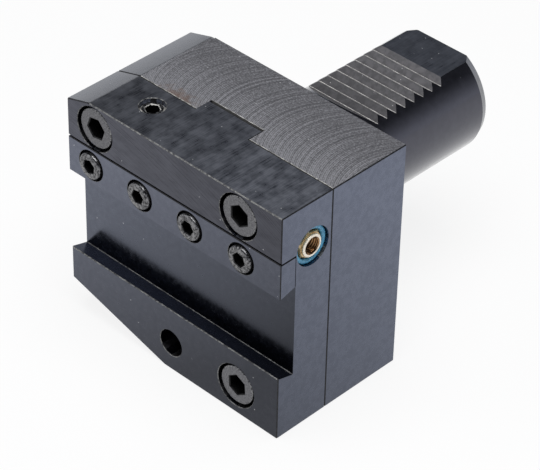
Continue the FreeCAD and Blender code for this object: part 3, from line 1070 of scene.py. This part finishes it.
@dataclass(kw_only=True)
class RoundPart:
    """Turned piece that takes the place of its CAD node.

    Its first ring lies at one end of the node's box, and the axis points from there to the other end.
    """

    node: str
    body: str
    slot: str
    axis: Axes
    clocking_deg: float = 0.0
    closed_loop: bool = False
    segments: int = 72
    sharp_deg: float = 32.0

    def outer_radius(self, size: Vector) -> float:
        """Radius of the piece in millimetres, from the size of its node's box."""
        return size.x / 2 / MM

    def outline(self, radius: float, length: float) -> list[Station]:
        """Rings of the piece.

        Args:
            radius: outer radius in millimetres.
            length: length in millimetres.

        Returns:
            The rings in order.
        """
        raise NotImplementedError

    def threads(self, radius: float, length: float) -> list[Thread]:
        """Threads of the piece; pins and seals have none."""
        return []

    def build(self, palette: Palette, tool: ThreadTool) -> bpy.types.Object:
        """Make the piece and put it on its body.

        Args:
            palette: the holder's materials.
            tool: the thread tree.

        Returns:
            The piece.
        """
        low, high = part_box(self.node)
        side = [abs(value) for value in self.axis].index(1.0)
        length = (high[side] - low[side]) / MM
        radius = self.outer_radius(high - low)
        rings = self.outline(radius, length)
        mesh = TurnedPiece(rings, palette, self.closed_loop, self.segments).mesh(self.sharp_deg)
        for thread in self.threads(radius, length):
            mesh = tool.apply(mesh, thread.inputs(palette))
        start = (low + high) / 2
        start[side] = low[side] if self.axis[side] > 0 else high[side]
        laid(mesh, Vector(self.axis), start, self.clocking_deg)
        return add_piece(mesh, f"{self.node}_detail", self.body, self.node, self.slot)


@dataclass(kw_only=True)
class SocketScrew(RoundPart):
    """Socket head cap screw along the shank's axis."""

    slot: str = "screw_steel"
    axis: Axes = (0.0, 1.0, 0.0)
    face: Finish
    thread_diameter: float
    pitch: float
    head_height: float
    head_rim: float
    flats: float
    socket_depth: float
    mouth_share: float = 0.05
    rim_steps: int = 4
    fillet: float = 0.3

    def outline(self, radius: float, length: float) -> list[Station]:
        """See RoundPart.outline: from the bottom of the socket to the tip."""
        crest = self.thread_diameter / 2
        dark = Finish.SCREW_THREAD
        mouth = self.flats * self.mouth_share
        start = self.head_height + self.fillet
        return [
            # The cap screws' socket mouths take the painted shade too.
            *socket(self.flats, self.socket_depth, mouth, Finish.SHADED_SCREW_SOCKET),
            Station(0.0, radius - self.head_rim, self.face),
            *rounded(0.0, radius, self.head_rim, self.rim_steps, Finish.SCREW_RIM),
            Station(self.head_height, radius, dark),
            Station(self.head_height, crest + self.fillet, dark),
            *thread_rows(start, length - self.pitch / 2, crest, self.pitch, dark),
            Station(length, crest - self.pitch * THREAD_DEPTH, dark),
            Station(length, 0.0, dark),
        ]

    def threads(self, radius: float, length: float) -> list[Thread]:
        """See RoundPart.threads."""
        start = self.head_height + self.pitch
        end = length - self.pitch / 2
        crest = self.thread_diameter / 2
        return [Thread(self.pitch, crest, start, end, self.fillet / 2, Finish.SCREW_THREAD)]


@dataclass(kw_only=True)
class CarrierBolt(SocketScrew):
    """M8 screw that holds the carrier on the base."""

    face: Finish = Finish.SCREW_FACE
    thread_diameter: float = 8.0
    pitch: float = 1.25
    head_height: float = 8.0
    head_rim: float = 0.5
    flats: float = 6.0
    socket_depth: float = 4.2


@dataclass(kw_only=True)
class JawScrew(SocketScrew):
    """M5 screw that holds the jaw on the carrier."""

    face: Finish = Finish.SCREW_RIM
    thread_diameter: float = 5.0
    pitch: float = 0.8
    head_height: float = 5.0
    head_rim: float = 0.8
    flats: float = 4.0
    socket_depth: float = 2.6


@dataclass(kw_only=True)
class HeightScrew(RoundPart):
    """Set screw that stands on the stop pin."""

    node: str = "height_screw"
    body: str = "height_screw"
    slot: str = "screw_steel"
    axis: Axes = (0.0, 0.0, -1.0)
    pitch: float = 1.25
    flats: float = 4.0
    socket_depth: float = 4.5
    socket_mouth: float = 0.25
    top_chamfer: float = 0.8
    point_radius: float = 2.75
    point_length: float = 1.5
    point_chamfer: float = 0.25
    thread_reach: float = 0.25

    def outline(self, radius: float, length: float) -> list[Station]:
        """See RoundPart.outline: from the bottom of the socket to the tip."""
        shoulder = length - self.point_length
        dark = Finish.SCREW_THREAD
        return [
            # The socket's mouth and the top chamfer carry a painted glint.
            *socket(self.flats, self.socket_depth, self.socket_mouth, Finish.PAINTED_GLINT_EDGE),
            Station(0.0, radius - self.top_chamfer, Finish.SCREW_RIM),
            Station(self.top_chamfer, radius, Finish.PAINTED_GLINT_EDGE),
            *thread_rows(self.top_chamfer, shoulder, radius, self.pitch, dark),
            Station(shoulder, self.point_radius, dark),
            Station(length - self.point_chamfer, self.point_radius, dark),
            Station(length, self.point_radius - self.point_chamfer, dark),
            Station(length, 0.0, dark),
        ]

    def threads(self, radius: float, length: float) -> list[Thread]:
        """See RoundPart.threads."""
        start = self.top_chamfer + self.pitch / 2
        end = length - self.point_length - self.pitch / 2
        return [Thread(self.pitch, radius, start, end, self.thread_reach, Finish.SCREW_THREAD)]


@dataclass(kw_only=True)
class CoolantOutlet(RoundPart):
    """Brass fitting with a hexagon, a collar and an inner hose thread."""

    node: str = "coolant_fitting"
    body: str = "blade_carrier"
    slot: str = "turned_brass"
    axis: Axes = (-1.0, 0.0, 0.0)
    clocking_deg: float = -12.0
    closed_loop: bool = True
    flats: float = 8.0
    collar_radius: float = 3.65
    collar_height: float = 0.85
    collar_corner: float = 0.25
    collar_steps: int = 3
    hex_chamfer: float = 0.5
    hex_foot: float = 2.25
    foot_relief: float = 0.35
    stem_radius: float = 3.5
    stem_pitch: float = 0.75
    bore_radius: float = 2.5
    bore_mouth: float = 0.35
    hose_pitch: float = 0.8
    thread_reach: float = 0.35

    def outline(self, radius: float, length: float) -> list[Station]:
        """See RoundPart.outline: round the outside and back through the bore."""
        half = self.flats / 2
        brass = Finish.BRASS
        start = self.hex_foot + self.foot_relief
        return [
            # Inside the bore the brass carries painted shade; the front face carries a painted highlight.
            Station(0.0, self.bore_radius + self.bore_mouth, Finish.SHADED_BRASS_BORE),
            Station(0.0, self.collar_radius - self.collar_corner, Finish.LIT_BRASS_FACE),
            *rounded(0.0, self.collar_radius, self.collar_corner, self.collar_steps, Finish.LIT_BRASS_FACE),
            Station(self.collar_height, self.collar_radius, brass),
            Station(self.collar_height, half, brass),
            Station(self.collar_height + self.hex_chamfer, half, brass, True),
            Station(self.hex_foot, half, brass, True),
            Station(self.hex_foot, self.stem_radius, brass),
            *thread_rows(start, length, self.stem_radius, self.stem_pitch, brass),
            *thread_rows(length, self.bore_mouth, self.bore_radius, self.hose_pitch, Finish.SHADED_BRASS_BORE),
        ]

    def threads(self, radius: float, length: float) -> list[Thread]:
        """See RoundPart.threads: the stem's thread and the bore's."""
        bore = Finish.SHADED_BRASS_BORE
        reach = self.thread_reach
        stem_start = self.hex_foot + self.stem_pitch
        hose_start = self.bore_mouth + self.hose_pitch / 4
        stem_end = length - self.stem_pitch / 2
        hose_end = length - self.hose_pitch / 2
        return [
            Thread(self.stem_pitch, self.stem_radius, stem_start, stem_end, reach, Finish.BRASS),
            Thread(self.hose_pitch, self.bore_radius, hose_start, hose_end, reach, bore, inner=True),
        ]


@dataclass(kw_only=True)
class SealRing(RoundPart):
    """Rubber ring with rounded corners."""

    slot: str = "black_rubber"
    axis: Axes = (0.0, 1.0, 0.0)
    closed_loop: bool = True
    segments: int = 120
    sharp_deg: float = 60.0
    finish: Finish = Finish.BLACK_RUBBER
    wall: float
    corner: float
    corner_steps: int = 5

    def outer_radius(self, size: Vector) -> float:
        """See RoundPart.outer_radius: the mean of the two sizes across the axis."""
        width = size.dot(Vector(self.axis))
        return math.sqrt((size.length_squared - width ** 2) / 2) / 2 / MM

    def outline(self, radius: float, length: float) -> list[Station]:
        """See RoundPart.outline: round the outside and back along the inner wall."""
        inner = radius - self.wall
        near = [
            Station(0.0, inner + self.corner, self.finish),
            Station(0.0, radius - self.corner, self.finish),
            *rounded(0.0, radius, self.corner, self.corner_steps, self.finish),
        ]
        far = [Station(length - ring.along, ring.radius, self.finish) for ring in reversed(near[1:])]
        return [
            *near,
            *far,
            Station(length, inner + self.corner, self.finish),
            Station(length - self.corner, inner, self.finish),
            Station(self.corner, inner, self.finish),
        ]


@dataclass(kw_only=True)
class StopPin(RoundPart):
    """Ground dowel that carries the tip of the height screw."""

    node: str = "height_stop_pin"
    body: str = "holder"
    slot: str = "ground_steel"
    axis: Axes = (0.0, 1.0, 0.0)
    corner: float = 0.5
    corner_steps: int = 4

    def outline(self, radius: float, length: float) -> list[Station]:
        """See RoundPart.outline: from the middle of the rounded end to the middle of the plain one."""
        bright = Finish.GROUND_PIN
        return [
            Station(0.0, 0.0, bright),
            Station(0.0, radius - self.corner, bright),
            *rounded(0.0, radius, self.corner, self.corner_steps, bright),
            Station(length, radius, bright),
            Station(length, 0.0, bright),
        ]


class ToothTool(NodeTool):
    """Cuts the flat and the row of asymmetric teeth into a turned shank.

    The limits tell its faces apart by their normals, and by their height as a share of the roots' own.
    """

    sizes = ("Count", "Pitch", "Rise run", "Depth", "First valley", "Flat height", "Root width", "Reach")
    # The roots' finish is a painted glint.
    finishes = ("Flat finish", "Flank finish", "Root glint finish")
    level_rise = 0.999
    most_side = 0.001
    least_flank_rise = 0.3
    most_flank_rise = 0.95
    least_height = 0.9

    def fill(self, graph: Graph, entry: bpy.types.NodeOutputs) -> Socket:
        """See NodeTool.fill."""
        reach = entry["Reach"]
        half_root = graph.math("MULTIPLY", entry["Root width"], 0.5)
        rise = graph.math("SUBTRACT", entry["Rise run"], half_root)
        fall = graph.math("SUBTRACT", graph.math("SUBTRACT", entry["Pitch"], entry["Rise run"]), half_root)
        slopes = [graph.math("DIVIDE", run, entry["Depth"]) for run in (rise, fall)]
        block = self.block(graph, reach)
        axes = graph.axes(graph.add("GeometryNodeInputPosition").outputs[0])
        lift = graph.math("MULTIPLY_ADD", reach, 0.5, axes["Z"])
        side = graph.math("DIVIDE", axes["Y"], reach)
        spread = graph.math("MULTIPLY_ADD", graph.math("ADD", *slopes), lift, entry["Root width"])
        lean = graph.math("MULTIPLY", graph.math("MULTIPLY", graph.math("SUBTRACT", *slopes), lift), 0.5)
        place = graph.vector(axes["X"], graph.math("MULTIPLY_ADD", side, spread, lean), lift)
        wedge = graph.add("GeometryNodeSetPosition", {"Geometry": block, "Position": place}).outputs[0]
        valley = graph.math("SUBTRACT", entry["Flat height"], entry["Depth"])
        start = graph.vector(y=entry["First valley"], z=valley)
        inputs = {"Count": entry["Count"], "Start Location": start, "Offset": graph.vector(y=entry["Pitch"])}
        row = graph.add("GeometryNodeMeshLine", inputs).outputs[0]
        wedges = graph.add("GeometryNodeInstanceOnPoints", {"Points": row, "Instance": wedge}).outputs[0]
        half = graph.math("MULTIPLY", reach, 0.5)
        shift = graph.vector(
            y=graph.math("ADD", entry["First valley"], half), z=graph.math("ADD", entry["Flat height"], half)
        )
        slab = graph.add("GeometryNodeTransform", {"Geometry": block, "Translation": shift}).outputs[0]
        flattened = self.minus(graph, entry["Geometry"], slab)
        toothed = self.minus(graph, flattened, wedges)
        realized = graph.add("GeometryNodeRealizeInstances", {"Geometry": toothed}).outputs[0]
        return self.dress(graph, entry, realized, valley)

    def block(self, graph: Graph, reach: Socket) -> Socket:
        """Cube with the reach as its side."""
        return graph.add("GeometryNodeMeshCube", {"Size": graph.vector(reach, reach, reach)}).outputs[0]

    def minus(self, graph: Graph, geometry: Socket, cutter: Socket) -> Socket:
        """Geometry less a cutter, whose copies may cross each other."""
        inputs = {"Mesh 1": geometry, "Mesh 2": cutter, "Self Intersection": True}
        return graph.add("GeometryNodeMeshBoolean", inputs, operation="DIFFERENCE", solver="EXACT").outputs[0]

    def dress(self, graph: Graph, entry: bpy.types.NodeOutputs, geometry: Socket, valley: Socket) -> Socket:
        """Give the flat and the flanks their finishes, and the roots a painted glint.

        Args:
            graph: the tree to fill.
            entry: the tree's inputs by name.
            geometry: the cut shank.
            valley: height of the tooth roots.

        Returns:
            The dressed geometry.
        """
        normal = graph.axes(graph.add("GeometryNodeInputNormal").outputs[0])
        height = graph.axes(graph.add("GeometryNodeInputPosition").outputs[0])["Z"]
        up = graph.math("GREATER_THAN", normal["Z"], self.level_rise)
        along = graph.math("LESS_THAN", graph.math("ABSOLUTE", normal["X"]), self.most_side)
        tilted = graph.math("LESS_THAN", graph.math("ABSOLUTE", normal["Z"]), self.most_flank_rise)
        rising = graph.math("GREATER_THAN", normal["Z"], self.least_flank_rise)
        high = graph.math("GREATER_THAN", height, graph.math("MULTIPLY", valley, self.least_height))
        middle = graph.math("MULTIPLY_ADD", entry["Depth"], 0.5, valley)
        upper = graph.math("GREATER_THAN", height, middle)
        lower = graph.math("MULTIPLY", high, graph.math("LESS_THAN", height, middle))
        sloped = graph.math("MULTIPLY", tilted, rising)
        flank = graph.math("MULTIPLY", graph.math("MULTIPLY", along, sloped), high)
        chosen = {
            "Flat finish": graph.math("MULTIPLY", up, upper),
            "Root glint finish": graph.math("MULTIPLY", up, lower),
            "Flank finish": flank,
        }
        for name, selection in chosen.items():
            inputs = {"Geometry": geometry, "Selection": selection, "Material": entry[name]}
            geometry = graph.add("GeometryNodeSetMaterial", inputs).outputs[0]
        return geometry


@dataclass
class ToothedShank:
    """Cylindrical shank with a toothed flat, a seal groove, a lead-in and a lathe centre."""

    seal_gap: float = 0.05
    groove_start: float = 2.5
    groove_width: float = 3.0
    groove_depth: float = 2.4
    lead_length: float = 2.8
    lead_depth: float = 1.0
    tooth_count: int = 8
    pitch: float = 4.0
    rise_run: float = 1.8
    tooth_depth: float = 1.6
    flat_height: float = 16.0
    first_valley: float = 18.8
    root_width: float = 0.2
    centre_mouth: float = 4.0
    centre_pilot: float = 1.575
    centre_depth: float = 9.0
    centre_half_angle_deg: float = 30.0
    seated: float = 0.4
    edge: float = 0.25
    cutter_reach: float = 2.5
    segments: int = 240
    sharp_deg: float = 15.0

    def outline(self, radius: float, length: float) -> list[Station]:
        """Rings of the blank, from the end inside the block to the lathe centre.

        Args:
            radius: shank radius.
            length: shank length from the flange face.

        Returns:
            The rings in order.
        """
        ground = Finish.TURNED_SHANK
        # The lead-in and the centre's cone carry a painted highlight.
        highlighted = Finish.LIT_LEAD_IN
        groove_end = self.groove_start + self.groove_width
        cone = (self.centre_mouth - self.centre_pilot) / math.tan(math.radians(self.centre_half_angle_deg))
        return [
            Station(-self.seated, 0.0, ground),
            Station(-self.seated, radius, ground),
            Station(self.groove_start, radius, ground),
            Station(self.groove_start, radius - self.groove_depth, ground),
            Station(groove_end, radius - self.groove_depth, ground),
            Station(groove_end, radius, ground),
            Station(length - self.lead_length, radius, ground),
            Station(length - self.edge, radius - self.lead_depth, highlighted),
            Station(length, radius - self.lead_depth - self.edge, Finish.WORN_EDGE_WITH_GLINT),
            Station(length, self.centre_mouth, ground),
            Station(length - cone, self.centre_pilot, highlighted),
            Station(length - self.centre_depth, self.centre_pilot, ground),
            Station(length - self.centre_depth - self.centre_pilot, 0.0, ground),
        ]

    def build(self, palette: Palette, teeth: ToothTool) -> bpy.types.Object:
        """Make the shank and put it on the base.

        Args:
            palette: the holder's materials.
            teeth: the tooth tree.

        Returns:
            The shank.
        """
        low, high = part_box("shank_seal_ring")
        radius = (high.x - low.x) / 2 / MM + self.seal_gap
        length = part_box("base_body")[1].y / MM
        blank = TurnedPiece(self.outline(radius, length), palette, segments=self.segments).mesh()
        laid(blank, Vector((0, 1, 0)), Vector((0, 0, 0)))
        sizes = {
            "Pitch": self.pitch,
            "Rise run": self.rise_run,
            "Depth": self.tooth_depth,
            "First valley": self.first_valley,
            "Flat height": self.flat_height,
            "Root width": self.root_width,
            "Reach": self.cutter_reach * radius,
        }
        values = {name: value * MM for name, value in sizes.items()}
        values["Count"] = float(self.tooth_count)
        values["Flat finish"] = palette.material(Finish.SHANK_FLAT)
        values["Flank finish"] = palette.material(Finish.TOOTH_FLANK)
        # The roots carry a painted glint.
        values["Root glint finish"] = palette.material(Finish.TOOTH_ROOT_GLINT)
        mesh = teeth.apply(blank, values)
        mesh.polygons.foreach_set("use_smooth", [True] * len(mesh.polygons))
        mesh.set_sharp_from_angle(angle=math.radians(self.sharp_deg))
        return add_piece(mesh, "toothed_shank", "holder", "base_body", "blackened_steel")


@dataclass
class Block:
    """Large piece: a copy of its CAD mesh with merged points and a finish for each face.

    The breaks, the chamfer and the sides are told apart by the parts of their normals.
    """

    node: str
    body: str
    sharp_deg: float = 28.0
    flat_deg: float = 0.2
    rim_width: float = 0.18
    rim_finish: Finish = Finish.WORN_EDGE_WITH_GLINT
    least_break: float = 0.5
    chamfer_rise: float = 0.8
    chamfer_lean: float = 0.05
    most_side: float = 0.1
    facet_length: float = 3.0
    facet_deg: float = 80.0

    def __post_init__(self) -> None:
        """Read the corners of the CAD node's box."""
        self.low, self.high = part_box(self.node)

    def finish_of(self, normal: Vector, centre: Vector) -> Finish:
        """Finish of a face.

        Args:
            normal: the face's normal.
            centre: the face's centre.

        Returns:
            The finish.
        """
        raise NotImplementedError

    def reshape(self, bm: bmesh.types.BMesh) -> None:
        """Change the copy before it is dressed; most pieces need nothing."""

    def on_rim(self, edge: bmesh.types.BMEdge) -> bool:
        """Whether an edge gets a small countersink or a worn rim, either one carrying a painted glint."""
        return False

    def refine(self, bm: bmesh.types.BMesh) -> None:
        """Change the merged faces, where a block needs it."""

    def is_edge_break(self, normal: Vector) -> bool:
        """Whether a normal is that of a small chamfer between two of the block's faces."""
        return sorted(abs(value) for value in normal)[1] > self.least_break

    def is_top_front(self, normal: Vector) -> bool:
        """Whether a normal is that of the chamfer between a top and a front."""
        level = abs(normal.x) < self.most_side
        return level and normal.y < -self.least_break and normal.z > self.least_break

    def is_top_chamfer(self, normal: Vector) -> bool:
        """Whether a normal is that of the wide, shallow chamfer at the left end of the top."""
        leaning = normal.z > self.chamfer_rise and normal.x < -self.chamfer_lean
        return leaning and abs(normal.y) < self.most_side

    def is_hole_facet(self, edge: bmesh.types.BMEdge) -> bool:
        """Whether an edge is short and square, as those round the mouth of a hole are."""
        square = edge.calc_face_angle(0.0) >= math.radians(self.facet_deg)
        return square and edge.calc_length() < self.facet_length * MM

    def in_front(self, edge: bmesh.types.BMEdge) -> bool:
        """Whether an edge lies in the plane of the block's front."""
        return all(abs(vert.co.y - self.low.y) < ON_PLANE for vert in edge.verts)

    def build(self, palette: Palette) -> bpy.types.Object:
        """Copy, merge and dress the piece.

        Args:
            palette: the holder's materials.

        Returns:
            The dressed object.
        """
        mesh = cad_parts[self.node].data.copy()
        mesh.materials.clear()
        mesh.attributes.remove(mesh.attributes["custom_normal"])
        bm = bmesh.new()
        bm.from_mesh(mesh)
        bmesh.ops.remove_doubles(bm, verts=bm.verts, dist=MERGED)
        self.reshape(bm)
        bm.normal_update()
        flat = math.radians(self.flat_deg)
        bmesh.ops.dissolve_limit(bm, angle_limit=flat, verts=bm.verts, edges=bm.edges, delimit={"NORMAL"})
        self.refine(bm)
        rims = [edge for edge in bm.edges if self.on_rim(edge)]
        width = self.rim_width * MM
        cut = bmesh.ops.bevel(bm, geom=rims, offset=width, segments=1, affect="EDGES", clamp_overlap=True)
        # The bevelled rims are worn edges with a painted glint.
        worn_and_glint_rims = set(cut["faces"])
        bm.normal_update()
        order: list[Finish] = []
        for face in bm.faces:
            if face in worn_and_glint_rims:
                finish = self.rim_finish
            else:
                finish = self.finish_of(face.normal, face.calc_center_median())
            if finish not in order:
                order.append(finish)
            face.material_index = order.index(finish)
            face.smooth = True
        bm.to_mesh(mesh)
        bm.free()
        for finish in order:
            mesh.materials.append(palette.material(finish))
        mesh.set_sharp_from_angle(angle=math.radians(self.sharp_deg))
        return add_piece(mesh, f"{self.node}_dressed", self.body, self.node, "blackened_steel")


@dataclass
class BaseBlock(Block):
    """Rear block, without its shank, which is a piece of its own."""

    node: str = "base_body"
    body: str = "holder"
    beyond_flange: float = 0.01
    slot_wall_from: float = 2.0
    slot_wall_to: float = 12.0
    slot_chamfer: float = 0.75

    def reshape(self, bm: bmesh.types.BMesh) -> None:
        """Take off the CAD shank and close the flange face under it."""
        beyond = [face for face in bm.faces if face.calc_center_median().y > self.beyond_flange * MM]
        bmesh.ops.delete(bm, geom=beyond, context="FACES")
        open_edges = [edge for edge in bm.edges if len(edge.link_faces) == 1]
        bmesh.ops.holes_fill(bm, edges=open_edges, sides=0)
        bmesh.ops.recalc_face_normals(bm, faces=bm.faces)

    def refine(self, bm: bmesh.types.BMesh) -> None:
        """See Block.refine: chamfer the rear wall's top in the slot that takes the carrier's tongue."""
        front = self.low.y + self.slot_wall_from * MM
        back = self.low.y + self.slot_wall_to * MM
        walls = [face for face in bm.faces if face.normal.y < -SQUARE]
        walls = [face for face in walls if front < face.calc_center_median().y < back]
        edges = list(dict.fromkeys(edge for face in walls for edge in face.edges))
        verts = list(dict.fromkeys(vert for face in walls for vert in face.verts))
        level = self.high.z - self.slot_chamfer * MM
        bmesh.ops.bisect_plane(bm, geom=verts + edges + walls, plane_co=(0, 0, level), plane_no=(0, 0, 1))
        for vert in verts:
            if abs(vert.co.z - self.high.z) < ON_PLANE:
                vert.co.y += self.slot_chamfer * MM

    def finish_of(self, normal: Vector, centre: Vector) -> Finish:
        """See Block.finish_of."""
        if normal.z > SQUARE:
            return Finish.BASE_TOP
        if self.is_top_chamfer(normal):
            return Finish.LIT_TOP_CHAMFER
        if self.is_edge_break(normal):
            # Edge breaks facing up and to the front get a painted glint over a painted shadow; the others get
            # painted shade.
            return Finish.JOINT_GLINT_AND_SHADE if self.is_top_front(normal) else Finish.PAINTED_SHADE_EDGE
        return Finish.GROUND_SIDE


@dataclass
class CarrierPlate(Block):
    """Front plate that slides up and down on the base.

    Its holes are told from its other short edges by their distance from the ends and the front.
    """

    node: str = "carrier"
    body: str = "blade_carrier"
    ledge_length: float = 20.0
    bevel_rise: float = 0.9
    end_margin: float = 2.0
    front_depth: float = 18.0

    def __post_init__(self) -> None:
        """Read the box and the height at which the strip over the jaw starts."""
        super().__post_init__()
        self.strip_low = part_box("clamp_jaw")[1].z

    def finish_of(self, normal: Vector, centre: Vector) -> Finish:
        """See Block.finish_of."""
        above = centre.z > self.strip_low
        if normal.z > SQUARE and above:
            return Finish.CARRIER_TOP
        if self.is_top_chamfer(normal):
            return Finish.LIT_TOP_CHAMFER
        if self.is_edge_break(normal):
            # Edge breaks facing up and to the front are worn edges with a painted glint; the others get
            # painted shade.
            return Finish.WORN_EDGE_WITH_GLINT if self.is_top_front(normal) else Finish.PAINTED_SHADE_EDGE
        if normal.y < -SQUARE:
            if above:
                return Finish.FRONT_STRIP
            # Below the strip, the front and the recessed seat wall are darker copies of the ground steel, as
            # painted shade.
            recessed = centre.y > self.low.y + self.rim_width * MM
            return Finish.SHADED_SEAT_WALL if recessed else Finish.SHADED_FRONT_FACE
        return Finish.GROUND_SIDE

    def on_rim(self, edge: bmesh.types.BMEdge) -> bool:
        """See Block.on_rim: the round holes in the front and the top, and the ledge's two long edges."""
        normals = [face.normal for face in edge.link_faces]
        long = edge.calc_length() > self.ledge_length * MM
        if long and any(normal.y < -SQUARE for normal in normals):
            return any(self.bevel_rise < normal.z < SQUARE for normal in normals)
        margin = self.end_margin * MM
        inside = all(self.low.x + margin < vert.co.x < self.high.x - margin for vert in edge.verts)
        before = all(vert.co.y < self.low.y + self.front_depth * MM for vert in edge.verts)
        on_top = all(abs(vert.co.z - self.high.z) < ON_PLANE for vert in edge.verts)
        return self.is_hole_facet(edge) and inside and before and (self.in_front(edge) or on_top)


@dataclass
class ClampJaw(Block):
    """Bar that holds the blade down."""

    node: str = "clamp_jaw"
    body: str = "jaw"

    def finish_of(self, normal: Vector, centre: Vector) -> Finish:
        """See Block.finish_of."""
        # Every edge break of the jaw gets painted shade.
        if self.is_edge_break(normal):
            return Finish.PAINTED_SHADE_EDGE
        # The front is a darker copy of the ground steel, as painted shade.
        return Finish.SHADED_FRONT_FACE if normal.y < -SQUARE else Finish.GROUND_SIDE

    def on_rim(self, edge: bmesh.types.BMEdge) -> bool:
        """See Block.on_rim: the screw holes in the front."""
        return self.is_hole_facet(edge) and self.in_front(edge)


@dataclass
class Lamp:
    """Soft square lamp aimed at the object."""

    name: str
    place: Axes
    size: float
    power: float

    def build(self, target: Vector) -> None:
        """Hang the lamp.

        Args:
            target: the point that it shines at.
        """
        data = bpy.data.lights.new(self.name, "AREA")
        data.size = self.size
        data.energy = self.power
        lamp = bpy.data.objects.new(self.name, data)
        lamp.location = self.place
        lamp.rotation_mode = "QUATERNION"
        lamp.rotation_quaternion = (Vector(self.place) - target).to_track_quat("Z", "Y")
        bpy.context.scene.collection.objects.link(lamp)


@dataclass
class Studio:
    """Floor, light and the camera of the photograph."""

    image_width: float = 540.0
    focal_px: float = 2620.97
    sensor_mm: float = 36.0
    place_mm: Axes = (424.480, -458.384, 455.219)
    image_right: Axes = (0.715321, 0.698555, 0.018336)
    image_down: Axes = (0.435952, -0.425601, -0.792975)
    floor_colour: Colour = (0.95, 0.95, 0.95)
    floor_size: float = 6.0
    floor_gap: float = 0.05
    floor_keep: float = 0.15
    sky: tuple[tuple[float, Colour], ...] = (
        (0.05, (0.88, 0.90, 0.95)),
        (0.28, (0.42, 0.43, 0.46)),
        (0.50, (0.10, 0.103, 0.112)),
    )
    lamps: tuple[Lamp, ...] = (
        Lamp("overhead", (0.10, -0.10, 0.90), 0.70, 8.0),
        Lamp("left_front", (-0.70, -0.80, 0.60), 0.60, 2.0),
    )

    def camera(self) -> None:
        """Set the camera to the photograph's place, direction and focal length."""
        data = bpy.data.cameras.new("photo_camera")
        data.sensor_width = self.sensor_mm
        data.lens = self.focal_px / self.image_width * self.sensor_mm
        right = Vector(self.image_right).normalized()
        up = -Vector(self.image_down)
        up = (up - right * up.dot(right)).normalized()
        turn = Matrix((right, up, right.cross(up))).transposed().to_4x4()
        camera = bpy.data.objects.new("photo_camera", data)
        camera.matrix_world = Matrix.Translation(Vector(self.place_mm) * MM) @ turn
        bpy.context.scene.collection.objects.link(camera)
        bpy.context.scene.camera = camera

    def floor(self) -> None:
        """Lay a white floor that keeps a faint shadow."""
        half = self.floor_size / 2
        level = CAD_BOUNDS[0].z - self.floor_gap * MM
        mesh = bpy.data.meshes.new("studio_floor")
        corners = [(-half, -half, level), (half, -half, level), (half, half, level), (-half, half, level)]
        mesh.from_pydata(corners, [], [(0, 1, 2, 3)])
        shader = Shader("studio_floor")
        rays = shader.add("ShaderNodeLightPath").outputs
        seen = shader.math("MAXIMUM", rays["Is Camera Ray"], rays["Is Glossy Ray"])
        seen = shader.math("MAXIMUM", seen, rays["Is Transmission Ray"])
        white = shader.math("MULTIPLY", seen, 1.0 - self.floor_keep)
        diffuse = shader.add("ShaderNodeBsdfDiffuse", {"Color": (*self.floor_colour, 1.0)})
        glow = shader.add("ShaderNodeEmission", {"Strength": 1.0})
        mixed = shader.add("ShaderNodeMixShader", {0: white, 1: diffuse.outputs[0], 2: glow.outputs[0]})
        shader.add("ShaderNodeOutputMaterial", {"Surface": mixed.outputs[0]})
        mesh.materials.append(shader.material)
        piece = bpy.data.objects.new("studio_floor", mesh)
        bpy.context.scene.collection.objects.link(piece)

    def world(self) -> None:
        """Surround the object with a pale horizon that darkens towards the ceiling."""
        world = bpy.data.worlds.new("studio_world")
        bpy.context.scene.world = world
        world.use_nodes = True
        world.node_tree.nodes.clear()
        graph = Graph(world.node_tree)
        height = graph.axes(graph.add("ShaderNodeTexCoord").outputs["Generated"])["Z"]
        ramp = graph.add("ShaderNodeValToRGB", {"Fac": height})
        stops = ramp.color_ramp.elements
        while len(stops) < len(self.sky):
            stops.new(1.0)
        for element, (position, colour) in zip(stops, self.sky):
            element.position = position
            element.color = (*colour, 1.0)
        lit = graph.add("ShaderNodeBackground", {"Color": ramp.outputs["Color"]})
        graph.add("ShaderNodeOutputWorld", {"Surface": lit.outputs[0]})

    def build(self) -> None:
        """Make the whole studio."""
        bpy.context.scene.view_settings.view_transform = "Standard"
        self.camera()
        self.floor()
        self.world()
        for lamp in self.lamps:
            lamp.build((CAD_BOUNDS[0] + CAD_BOUNDS[1]) / 2)
        LOG.info("studio: camera, floor, world and %d lamps", len(self.lamps))


def screws() -> list[SocketScrew]:
    """The three carrier bolts and the four jaw screws, each with the turn of its socket."""
    bolts = {"upper_left": -10.0, "upper_right": 28.0, "lower_right": 26.0}
    jaw_screws = {"1": -21.0, "2": -10.0, "3": 1.0, "4": 12.0}
    found: list[SocketScrew] = []
    for kind, prefix, turns in ((CarrierBolt, "carrier_bolt", bolts), (JawScrew, "clamp_screw", jaw_screws)):
        for place, turn in turns.items():
            node = f"{prefix}_{place}"
            found.append(kind(node=node, body=node, clocking_deg=turn))
    return found


def seals() -> list[SealRing]:
    """The blue ring of the outlet and the two black rings inside."""
    blue = SealRing(
        node="fitting_seal_ring",
        body="blade_carrier",
        slot="blue_seal",
        axis=(1.0, 0.0, 0.0),
        finish=Finish.BLUE_RUBBER,
        wall=1.52,
        corner=0.45,
    )
    root = SealRing(node="shank_seal_ring", body="holder", wall=2.35, corner=0.6)
    face = SealRing(node="coolant_face_seal", body="holder", wall=1.8, corner=0.5)
    return [blue, root, face]


def main() -> None:
    """Build the dressed holder and its studio."""
    logging.basicConfig(level=logging.INFO, format="%(message)s")
    Studio().build()
    palette = Palette()
    threads = ThreadTool()
    for block in (BaseBlock(), CarrierPlate(), ClampJaw()):
        block.build(palette)
    ToothedShank().build(palette, ToothTool())
    for part in (*screws(), HeightScrew(), CoolantOutlet(), *seals(), StopPin()):
        part.build(palette, threads)


if __name__ == "__main__":
    main()
